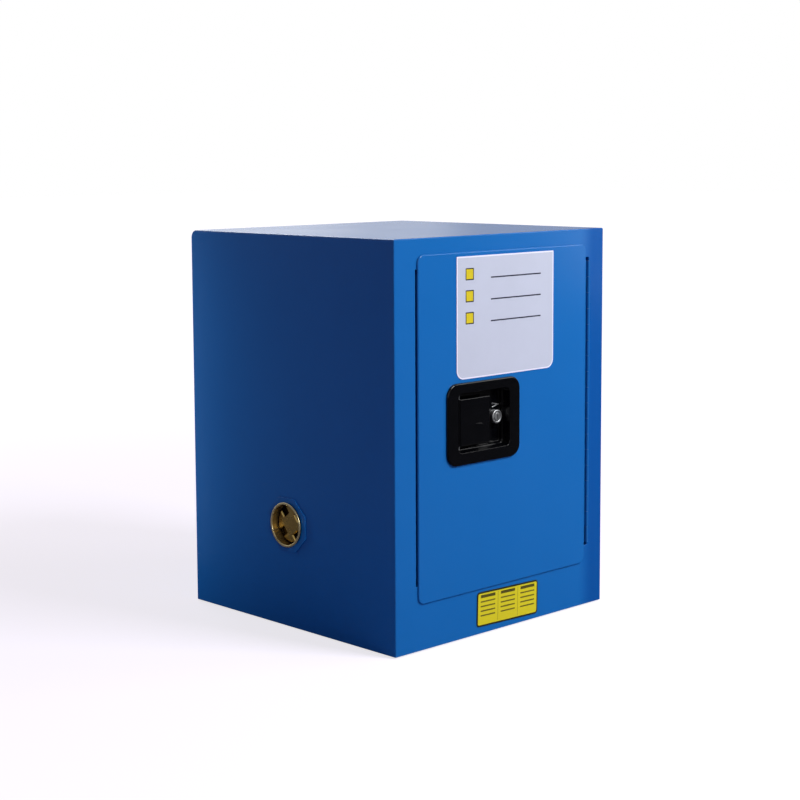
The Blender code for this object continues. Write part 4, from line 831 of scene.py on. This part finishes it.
# Key lock: a cast barrel with a rounded ring of a face, and a plug with a keyway that turns
# in it. Both are zinc, plated with chrome, and clipped into the dish from the front.
LOCK_FACE, LOCK_HEAD, LOCK_BODY, LOCK_BACK, LOCK_BORE = -0.2120, 0.0098, 0.0080, -0.1970, 0.0066
LOCK_ROUND, LOCK_DISH = 0.0014, 0.0006
PLUG_RADIUS, PLUG_PROUD, TAIL_RADIUS, TAIL_END = 0.0061, 0.0005, 0.0030, -0.1900
KEYWAY_WIDE, KEYWAY_TALL, KEYWAY_DEEP = 0.0018, 0.0076, 0.0050
LOCK_STEPS = 64

# Chrome plate brushed dull gives an even grey skin that blurs what it reflects. Its grain is
# drawn at 0.8 mm, coarser than a brush leaves, so that it shows.
chrome = clouded("chrome plate on zinc, brushed dull", 0.00455, 2.0, "B4B6B9", "CFD1D3", (0.34, 0.48),
                 (0.000833, 3.0, 0.3, 0.00001), Metallic=1.0)

barrel = turn("lock_barrel_cast", "Y", LOCK, rounded([
    (LOCK_BORE, LOCK_FACE + LOCK_DISH), (LOCK_BORE + LOCK_DISH, LOCK_FACE), (LOCK_HEAD, LOCK_FACE),
    (LOCK_HEAD, DISH_FLOOR - CLEAR), (LOCK_BODY, DISH_FLOOR - CLEAR), (LOCK_BODY, LOCK_BACK),
    (LOCK_BORE, LOCK_BACK), (LOCK_BORE, LOCK_FACE + LOCK_DISH)], LOCK_ROUND), LOCK_STEPS)
dress(barrel, chrome, "door")
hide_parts("lock_barrel")

plug = turn("lock_plug_turned", "Y", LOCK, rounded([
    (0, LOCK_FACE - PLUG_PROUD), (PLUG_RADIUS, LOCK_FACE - PLUG_PROUD), (PLUG_RADIUS, LOCK_BACK),
    (TAIL_RADIUS, LOCK_BACK), (TAIL_RADIUS, TAIL_END), (0, TAIL_END)], PLUG_PROUD), LOCK_STEPS)
cut(plug, start_box(
    "keyway", (LOCK.x - KEYWAY_WIDE / 2, LOCK_FACE - 2 * PLUG_PROUD, LOCK.z - KEYWAY_TALL / 2),
    (LOCK.x + KEYWAY_WIDE / 2, LOCK_FACE + KEYWAY_DEEP, LOCK.z + KEYWAY_TALL / 2)))
dress(plug, chrome, "key_plug")
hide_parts("lock_plug")


# Door plate: a thin white coated film with two round lower corners, stuck on above the latch.
# It carries three plain yellow marks and ruled lines to write on.
SIGN_X, SIGN_Y, SIGN_Z = (-0.1000, 0.0995), (-0.2183, -0.2178), (0.3645, 0.5320)
SIGN_TOP_CORNER, SIGN_LOW_CORNER, FILM_ROUND = 0.0010, 0.0130, 0.0002
# Coated film is faintly mottled and not quite flat where it is stuck down: its sheen is soft.
MOTTLE_LONG, MOTTLE_SHADES, LIFT_LONG, LIFT_DEEP, FILM_DULL = 0.040, (0.96, 1.04), 0.00833, 0.00003, 0.45


def patch(tree, place, middle, size, corner=0.0):
    """A mask that is 1 within an upright rectangle with rounded corners, seen from the front."""
    offset = lay(tree, "VectorMath", {"operation": "SUBTRACT"}, {0: place, 1: (middle[0], 0, middle[1])})
    mirrored = lay(tree, "VectorMath", {"operation": "ABSOLUTE"}, {0: offset.outputs[0]})
    beyond = lay(tree, "VectorMath", {"operation": "SUBTRACT"},
                 {0: mirrored.outputs[0], 1: (size[0] / 2 - corner, 1, size[1] / 2 - corner)})
    kept = lay(tree, "VectorMath", {"operation": "MAXIMUM"}, {0: beyond.outputs[0], 1: (0, 0, 0)})
    reach = lay(tree, "VectorMath", {"operation": "LENGTH"}, {0: kept.outputs[0]}).outputs["Value"]
    return lay(tree, "Math", {"operation": "LESS_THAN"}, {0: reach, 1: corner + 1e-6}).outputs[0]


def printed_film(name, base, prints, roughness, turned=(0, (0, 0))):
    """A coated film of one colour with plain shapes printed on it, the last on top. The print
    may be turned about a point. Each shape is (colour, middle, size, corner)."""
    finish, tree, shader, place = new_finish(name, IOR=1.5, Specular_IOR_Level=0.25, Roughness=roughness)
    mottle, lift = (
        lay(tree, "TexNoise", None, {"Vector": place, "Scale": 1 / size, "Detail": detail}).outputs["Fac"]
        for size, detail in ((MOTTLE_LONG, 3.0), (LIFT_LONG, 1.0)))
    squared = lay(tree, "VectorRotate", {"rotation_type": "Y_AXIS"}, {
        "Vector": place, "Center": (turned[1][0], 0, turned[1][1]), "Angle": turned[0]}).outputs["Vector"]
    shade = lay(tree, "MapRange", None, {
        "Value": mottle, "To Min": MOTTLE_SHADES[0], "To Max": MOTTLE_SHADES[1]}).outputs["Result"]
    colour = lay(tree, "RGB").outputs[0]
    colour.default_value = linear(base)
    for ink, middle, size, corner in prints:
        mask = patch(tree, squared, middle, size, corner)
        layered = lay(tree, "Mix", TINT, {"Factor": mask, MIX_A: colour, MIX_B: linear(ink)})
        colour = layered.outputs[MIX_OUT]
    shaded = lay(tree, "VectorMath", {"operation": "SCALE"}, {0: colour, "Scale": shade})
    bump = lay(tree, "Bump", None, {"Height": lift, "Strength": 1.0, "Distance": LIFT_DEEP})
    tree.links.new(shaded.outputs[0], shader.inputs["Base Color"])
    tree.links.new(bump.outputs["Normal"], shader.inputs["Normal"])
    return finish


SIGN_RIM, SIGN_WIDE = 0.0020, SIGN_X[1] - SIGN_X[0]
SIGN_MIDDLE = ((SIGN_X[0] + SIGN_X[1]) / 2, (SIGN_Z[0] + SIGN_Z[1]) / 2)
MARK_X, MARK_SIZE, MARK_RIM, MARK_CORNER = -0.0743, 0.0165, 0.0016, 0.0012
RULE_FROM, RULE_TO, RULE_THICK, RULE_DROP = -0.0320, 0.0720, 0.0019, 0.0065
SIGN_ROWS, SIGN_FIELD = (0.5075, 0.4775, 0.4475), "C5CFDC"
field_size = (SIGN_WIDE - 2 * SIGN_RIM, SIGN_Z[1] - SIGN_Z[0] - 2 * SIGN_RIM)
sign_print = [(SIGN_FIELD, SIGN_MIDDLE, field_size, SIGN_LOW_CORNER - SIGN_RIM)]
for across in (-1, 1):
    middle = (SIGN_MIDDLE[0] + across * (SIGN_WIDE / 2 - SIGN_RIM - SIGN_LOW_CORNER / 2),
              SIGN_Z[1] - SIGN_RIM - SIGN_LOW_CORNER / 2)
    sign_print.append((SIGN_FIELD, middle, (SIGN_LOW_CORNER, SIGN_LOW_CORNER), 0.0))
for row in SIGN_ROWS:
    sign_print += [
        ("2A2B30", (MARK_X, row), (MARK_SIZE, MARK_SIZE), MARK_CORNER),
        ("DCCB20", (MARK_X, row), (MARK_SIZE - 2 * MARK_RIM, MARK_SIZE - 2 * MARK_RIM), 0.0),
        ("25283A", ((RULE_FROM + RULE_TO) / 2, row - RULE_DROP), (RULE_TO - RULE_FROM, RULE_THICK), 0.0),
    ]
sign_film = printed_film("white coated film, screen printed", "EEF2FF", sign_print, FILM_DULL)

sign = start_box("door_plate", *zip(SIGN_X, SIGN_Y, SIGN_Z))
shape(sign)
for corner, test in ((SIGN_TOP_CORNER, lambda c, d: abs(d.y) > ALONG and near(c.z, SIGN_Z[1])),
                     (SIGN_LOW_CORNER, lambda c, d: abs(d.y) > ALONG and near(c.z, SIGN_Z[0]))):
    pick("EDGE", test)
    bpy.ops.mesh.bevel(offset=corner, segments=10, affect="EDGES")
pick("EDGE", lambda c, d: near(c.y, SIGN_Y[0]))
bpy.ops.mesh.bevel(offset=FILM_ROUND, segments=2, affect="EDGES")
leave()
dress(sign, sign_film, "door")
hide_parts("sign_plate")

# Form plate: a yellow film on the sill, stuck on slightly askew. It has a dark printed edge and
# three blank columns, each with a bar at its head and ruled lines below it.
FORM_MIDDLE, FORM_SIZE = Vector((0.0070, -0.21555, 0.0350)), (0.1280, 0.0005, 0.0495)
FORM_TILT, FORM_CORNER, FORM_EDGE = math.radians(1.5), 0.0050, 0.0024
COLUMN_PITCH, COLUMN_FREE, RULER_THICK, RULER_SHORT = 0.0415, 0.0300, 0.0009, 0.008
HEAD_Z, HEAD_TALL, FIRST_LINE_Z, LINE_PITCH, LINE_COUNT, LINE_TALL = 0.0180, 0.0042, 0.0105, 0.0066, 4, 0.0020

centre = (FORM_MIDDLE.x, FORM_MIDDLE.z)
field_size = (FORM_SIZE[0] - 2 * FORM_EDGE, FORM_SIZE[2] - 2 * FORM_EDGE)
form_print = [("DED522", centre, field_size, FORM_CORNER - FORM_EDGE)]
for column in (-1, 0, 1):
    x = centre[0] + column * COLUMN_PITCH
    form_print.append(("57531C", (x, centre[1] + HEAD_Z), (COLUMN_FREE, HEAD_TALL), 0.0))
    for line in range(LINE_COUNT):
        z = centre[1] + FIRST_LINE_Z - line * LINE_PITCH
        form_print.append(("6F6A20", (x, z), (COLUMN_FREE, LINE_TALL), 0.0))
for ruler in (-0.5, 0.5):
    x = centre[0] + ruler * COLUMN_PITCH
    form_print.append(("A69E28", (x, centre[1]), (RULER_THICK, FORM_SIZE[2] - RULER_SHORT), 0.0))
form_film = printed_film("yellow coated film, screen printed", "2B3320", form_print, FILM_DULL,
                         (-FORM_TILT, centre))

half = Vector(FORM_SIZE) / 2
form = start_box("form_plate_ruled", FORM_MIDDLE - half, FORM_MIDDLE + half)
shape(form)
pick("EDGE", lambda c, d: abs(d.y) > ALONG)
bpy.ops.mesh.bevel(offset=FORM_CORNER, segments=6, affect="EDGES")
pick("EDGE", lambda c, d: near(c.y, FORM_MIDDLE.y - half.y))
bpy.ops.mesh.bevel(offset=FILM_ROUND, segments=2, affect="EDGES")
bpy.ops.mesh.select_all(action="SELECT")
bpy.ops.transform.rotate(value=-FORM_TILT, orient_axis="Y", center_override=FORM_MIDDLE)
leave()
dress(form, form_film, "cabinet")
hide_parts("form_plate")


# Shelf: one galvanised sheet with its four edges folded down and then in, so that it is stiff
# and drips run off it. It hangs on the clips and lifts out.
SHELF_LOW, SHELF_HIGH = (-0.1812, -0.1680, 0.3020), (0.1812, 0.1800, 0.3220)
SHELF_LIP, SHELF_FOLD = 0.008, 0.0020

shelf = start_box("shelf_folded", SHELF_LOW, SHELF_HIGH)
shape(shelf)
pick("FACE", lambda c, n: n.z < -ALONG)
bpy.ops.mesh.inset(thickness=SHELF_LIP)
bpy.ops.mesh.delete(type="FACE")
pick("EDGE", lambda c, d: near(c.z, SHELF_HIGH[2]) or abs(d.z) > ALONG)
bpy.ops.mesh.bevel(offset=SHELF_FOLD, segments=3, affect="EDGES")
leave()
work(shelf, "SOLIDIFY", thickness=SHEET, offset=-1, use_even_offset=True)
dress(shelf, galvanised, "shelf")
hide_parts("shelf")


# Tray: a loose tray of white polyethylene that keeps acid off the metal. It is vacuum formed,
# so its corners are large and soft, its rim turns over, and it is waxy and a little cloudy.
TRAY_LOW, TRAY_HIGH = (-0.1590, -0.1460, 0.3253), (0.1590, 0.1560, 0.3603)
TRAY_CORNER, TRAY_ROUND, TRAY_WALL, TRAY_BREAK = 0.018, 0.006, 0.0030, 0.00075
TRAY_RIM, TRAY_LIP, TRAY_FLARE = 0.0090, 0.0060, 0.0040

polythene = clouded("white polyethylene, formed", 0.0714, 3.0, "DFE3E3", "ECEFEF",
                    grain=(0.00167, 1.0, 0.5, 0.00002), IOR=1.51, Specular_IOR_Level=0.35, Roughness=0.45,
                    Subsurface_Weight=0.15, Subsurface_Scale=0.004)

tray = start_box("shelf_tray_formed", TRAY_LOW, TRAY_HIGH)
shape(tray)
pick("FACE", lambda c, n: n.z < -ALONG)
middle = [(a + b) / 2 for a, b in zip(TRAY_LOW, TRAY_HIGH)]
shrink = [(b - a - 2 * TRAY_FLARE) / (b - a) for a, b in zip(TRAY_LOW[:2], TRAY_HIGH[:2])]
bpy.ops.transform.resize(value=(*shrink, 1), center_override=middle)
pick("EDGE", lambda c, d: abs(d.z) > ALONG)
bpy.ops.mesh.bevel(offset=TRAY_CORNER, segments=8, affect="EDGES")
pick("EDGE", lambda c, d: near(c.z, TRAY_LOW[2]))
bpy.ops.mesh.bevel(offset=TRAY_ROUND, segments=4, affect="EDGES")
pick("FACE", lambda c, n: n.z > ALONG)
bpy.ops.mesh.delete(type="FACE")
bpy.ops.mesh.select_all(action="SELECT")
bpy.ops.mesh.flip_normals()
hem_rim(TRAY_LOW, TRAY_HIGH, TRAY_RIM, -TRAY_LIP)
leave()
work(tray, "BEVEL", width=TRAY_BREAK, segments=2, limit_method="ANGLE", angle_limit=math.radians(50))
work(tray, "SOLIDIFY", thickness=TRAY_WALL, offset=-1, use_even_offset=True)
dress(tray, polythene, "tray")
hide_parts("shelf_tray")


# Feet: a turned pad and collar on a threaded stud, screwed through a hexagon nut welded to the
# base, so that the cabinet can be levelled. All are zinc plated.
FOOT_XY = ((-0.170, -0.170), (0.170, -0.170), (-0.170, 0.170), (0.170, 0.170))
PAD_RADIUS, PAD_TALL, COLLAR_RADIUS, COLLAR_TOP = 0.016, 0.006, 0.009, 0.0197
STUD_RADIUS, STUD_ROOT, STUD_TOP, THREAD_PITCH = 0.0040, 0.0035, 0.0365, 0.00125
NUT_RADIUS, NUT_LOW, NUT_HIGH, NUT_BORE, NUT_BEVEL = 0.0075, 0.0215, 0.0280, 0.0044, 0.0008
FOOT_STEPS, FOOT_ROUND, ROOT_AT, CREST_AT = 32, 0.0012, 0.1, 0.6  # root and crest in each pitch

crests = int((STUD_TOP - COLLAR_TOP) / THREAD_PITCH)
thread = [(radius, COLLAR_TOP + THREAD_PITCH * (number + part))
          for number in range(crests) for radius, part in ((STUD_ROOT, ROOT_AT), (STUD_RADIUS, CREST_AT))]
foot = turn("foot_turned_1", "Z", (*FOOT_XY[0], 0), rounded(
    [(0, 0), (PAD_RADIUS, 0), (PAD_RADIUS, PAD_TALL), (COLLAR_RADIUS, PAD_TALL), (COLLAR_RADIUS, COLLAR_TOP)]
    + thread + [(STUD_ROOT, STUD_TOP), (0, STUD_TOP)], FOOT_ROUND), FOOT_STEPS)
nut = start("foot_nut_hexagon_1", bpy.ops.mesh.primitive_cylinder_add, vertices=6, radius=NUT_RADIUS,
            depth=NUT_HIGH - NUT_LOW, location=(*FOOT_XY[0], (NUT_LOW + NUT_HIGH) / 2))
cut(nut, turn("chamfer", "Z", (*FOOT_XY[0], 0), [
    (0, NUT_LOW - CLEAR), (NUT_RADIUS - 2 * NUT_BEVEL, NUT_LOW - CLEAR),
    (NUT_RADIUS + CLEAR, NUT_LOW + NUT_BEVEL), (NUT_RADIUS + CLEAR, NUT_HIGH - NUT_BEVEL),
    (NUT_RADIUS - 2 * NUT_BEVEL, NUT_HIGH + CLEAR),
    (0, NUT_HIGH + CLEAR)], FOOT_STEPS), "INTERSECT")
cut(nut, turn("bore", "Z", (*FOOT_XY[0], 0), [
    (0, NUT_LOW - SHEET), (NUT_BORE, NUT_LOW - SHEET), (NUT_BORE, NUT_HIGH + SHEET), (0, NUT_HIGH + SHEET)],
    FOOT_STEPS))
for number, (x, y) in enumerate(FOOT_XY, 1):
    shift = (x - FOOT_XY[0][0], y - FOOT_XY[0][1], 0)
    one_foot = foot if number == 1 else copied(foot, f"foot_turned_{number}", shift)
    one_nut = nut if number == 1 else copied(nut, f"foot_nut_hexagon_{number}", shift)
    dress(one_foot, zinc_plate, f"foot_{number}")
    dress(one_nut, zinc_plate, "cabinet")
    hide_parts(f"levelling_foot_{number}")
    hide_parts(f"foot_nut_{number}")


# Ground: a plain pale sheet that keeps the cabinet's soft shadow and fades to white around it.
# To glossy rays it is a dark table, a little lit towards the rear left.
FLOOR_WIDE, PAPER, TABLE = 40, "B1AABC", "2E2F31"
FADE_FROM, FADE_TO, FADE_STRENGTH = 0.5, 3.0, (0.74, 1.0)
REAR_AXIS, REAR_FROM, REAR_TO, REAR_STRENGTH = (-0.7, 0.7, 0.0), 0.2, 1.2, (0.03, 0.16)

floor = start("floor", bpy.ops.mesh.primitive_plane_add, size=FLOOR_WIDE)
paper, tree, shader, place = new_finish("paper, pale matt", Roughness=1.0, Specular_IOR_Level=0.0)
shader.inputs["Emission Color"].default_value = (1, 1, 1, 1)
away_from = lay(tree, "VectorMath", {"operation": "LENGTH"}, {0: place}).outputs["Value"]
far = lay(tree, "MapRange", SMOOTH, {
    "Value": away_from, "From Min": FADE_FROM, "From Max": FADE_TO,
    "To Min": FADE_STRENGTH[0], "To Max": FADE_STRENGTH[1]}).outputs["Result"]
seen = lay(tree, "LightPath").outputs
sheet = lay(tree, "Mix", TINT, {"Factor": seen["Is Glossy Ray"], MIX_A: linear(PAPER), MIX_B: linear(TABLE)})
tree.links.new(sheet.outputs[MIX_OUT], shader.inputs["Base Color"])
through = lay(tree, "Math", {"operation": "MAXIMUM"},
              {0: seen["Is Camera Ray"], 1: seen["Is Transmission Ray"]})
rearward = lay(tree, "VectorMath", {"operation": "DOT_PRODUCT"}, {0: place, 1: REAR_AXIS}).outputs["Value"]
rear_sheet = lay(tree, "MapRange", SMOOTH, {
    "Value": rearward, "From Min": REAR_FROM, "From Max": REAR_TO,
    "To Min": REAR_STRENGTH[0], "To Max": REAR_STRENGTH[1]}).outputs["Result"]
mirrored = lay(tree, "Math", {"operation": "MULTIPLY"}, {0: seen["Is Glossy Ray"], 1: rear_sheet})
ray = lay(tree, "Math", {"operation": "MAXIMUM"}, {0: through.outputs[0], 1: mirrored.outputs[0]})
glow = lay(tree, "Math", {"operation": "MULTIPLY"}, {0: ray.outputs[0], 1: far})
tree.links.new(glow.outputs[0], shader.inputs["Emission Strength"])
floor.data.materials.append(paper)


# Studio: a dim room that lights softly, white where the camera looks past the cabinet, with
# pale walls and a panel that only glossy rays see. Each has the way to it, the cosines where
# it begins and is full, and its strength at both. Corner and left end scale the backdrop.
ROOM_COLOUR, ROOM_STRENGTH = (0.95, 0.60, 1.0, 1), 0.19
WALLS = {
    "backdrop": ((0.55, 0.82, 0.10), (-0.18, 0.97), (0.05, 0.90), "SMOOTHSTEP"),
    "corner": ((-0.712, 0.702, 0.0), (-0.045, -0.012), (0.57, 0.96), "SMOOTHSTEP"),
    "left end": ((-0.712, 0.702, 0.0), (0.02, 0.065), (1.0, 1.37), "LINEAR"),
    "fill": ((-0.69, -0.72, 0.10), (0.55, 0.90), (0.0, 0.8), "SMOOTHSTEP"),
    "overhead panel": ((0.375, 0.76, 0.53), (0.978, 0.992), (0.0, 4.0), "SMOOTHSTEP"),
}

world = bpy.data.worlds.new("studio")
bpy.context.scene.world = world
world.use_nodes = True
tree = world.node_tree
tree.nodes.clear()
seen = lay(tree, "LightPath").outputs
through = lay(tree, "Math", {"operation": "MAXIMUM"},
              {0: seen["Is Camera Ray"], 1: seen["Is Transmission Ray"]})
toward = lay(tree, "TexCoord").outputs["Generated"]
wall = {}
for name, (facing, reach, strength, fade) in WALLS.items():
    cosine = lay(tree, "VectorMath", {"operation": "DOT_PRODUCT"}, {0: toward, 1: facing}).outputs["Value"]
    wall[name] = lay(tree, "MapRange", {"interpolation_type": fade}, {
        "Value": cosine, "From Min": reach[0], "From Max": reach[1],
        "To Min": strength[0], "To Max": strength[1]}).outputs["Result"]
lit = lay(tree, "Math", {"operation": "MULTIPLY"}, {0: wall["corner"], 1: wall["left end"]})
round_it = lay(tree, "Math", {"operation": "MULTIPLY_ADD"},
               {0: wall["backdrop"], 1: lit.outputs[0], 2: wall["fill"]})
studio = lay(tree, "Math", {"operation": "ADD"}, {0: round_it.outputs[0], 1: wall["overhead panel"]})
mirrored = lay(tree, "Math", {"operation": "MULTIPLY"}, {0: seen["Is Glossy Ray"], 1: studio.outputs[0]})
ray = lay(tree, "Math", {"operation": "MAXIMUM"}, {0: through.outputs[0], 1: mirrored.outputs[0]})
room = lay(tree, "Background", None, {"Color": ROOM_COLOUR, "Strength": ROOM_STRENGTH})
white = lay(tree, "Background", None, {"Color": (1, 1, 1, 1), "Strength": ray.outputs[0]})
direct = lay(tree, "Math", {"operation": "GREATER_THAN"}, {0: ray.outputs[0], 1: 0.0})
both = lay(tree, "MixShader", None, {"Fac": direct.outputs[0], 1: room.outputs[0], 2: white.outputs[0]})
lay(tree, "OutputWorld", None, {"Surface": both.outputs[0]})


# Lamps: soft boxes, each with its place, the point it looks at, its size in metres, its watts
# and the only pieces it lights, where it doesn't light them all. No piece mirrors the strip.
LAMPS = (
    ("front_box", (0.72, -2.15, 1.98), (0, 0, 0.28), (1.0, 1.0), 61, ()),
    ("right_box", (1.5, -1.1, 0.75), (0, 0, 0.30), (0.4, 0.8), 1.8, ()),
    ("high_right_box", (1.55, -1.25, 1.40), (0, -0.2, 0.30), (0.8, 0.6), 7, ()),
    ("high_rear_box", (0.20, 1.42, 1.80), (-0.215, 0, 0.56), (0.5, 0.4), 3, ()),
    ("rear_strip", (-0.33, 0.40, 0.30), (-0.215, 0.15, 0.30), (0.05, 0.6), 0.6, ("cabinet_shell",)),
    ("left_box", (-0.62, -1.9, 1.1), (-0.215, -0.15, 0.15), (0.5, 0.5), 14,
     ("vent_flange_pressed_left", "vent_cap_turned_left")),
)
for name, place, aim, size, watts, only in LAMPS:
    bpy.ops.object.light_add(type="AREA", location=place)
    lamp = bpy.context.object
    lamp.name = name
    lamp.rotation_euler = (Vector(place) - Vector(aim)).to_track_quat("Z", "Y").to_euler()
    lamp.data.shape = "RECTANGLE"
    lamp.data.size, lamp.data.size_y = size
    lamp.data.energy = watts
    lamp.visible_camera = False
    lamp.visible_glossy = name != "rear_strip"
    if only:
        lit = bpy.data.collections.new("lit by the " + name.replace("_", " "))
        for piece_name in only:
            lit.objects.link(bpy.data.objects[piece_name])
        lamp.light_linking.receiver_collection = lit

# Camera, stood where the photograph was taken from, worked out from the cabinet's corners. It
# is turned by its azimuth, elevation and roll, and its lens is shifted as a cropped picture's.
AZIMUTH, ELEVATION, ROLL = math.radians(-43.3292), math.radians(6.2989), math.radians(-0.3790)
DISTANCE, SHIFT_RIGHT, SHIFT_UP, AIM_HEIGHT = 2.56932, -0.045618, 0.115072, 0.28
LENS_SHIFT, FILM_WIDE, LENS = (0.0418, -0.0756), 36.0, 77.508
level = Vector((math.cos(AZIMUTH), math.sin(AZIMUTH), 0))
away = Vector((math.sin(AZIMUTH) * math.cos(ELEVATION), -math.cos(AZIMUTH) * math.cos(ELEVATION),
               math.sin(ELEVATION)))
plumb = away.cross(level)
right = level * math.cos(ROLL) + plumb * math.sin(ROLL)
up = plumb * math.cos(ROLL) - level * math.sin(ROLL)
bpy.ops.object.camera_add()
camera = bpy.context.object
camera.matrix_world = Matrix((right, up, away)).transposed().to_4x4()
camera.location = Vector((0, 0, AIM_HEIGHT)) + DISTANCE * away + SHIFT_RIGHT * right + SHIFT_UP * up
camera.data.shift_x, camera.data.shift_y = LENS_SHIFT
camera.data.sensor_width, camera.data.lens = FILM_WIDE, LENS
bpy.context.scene.camera = camera
bpy.context.scene.view_settings.view_transform = "Standard"
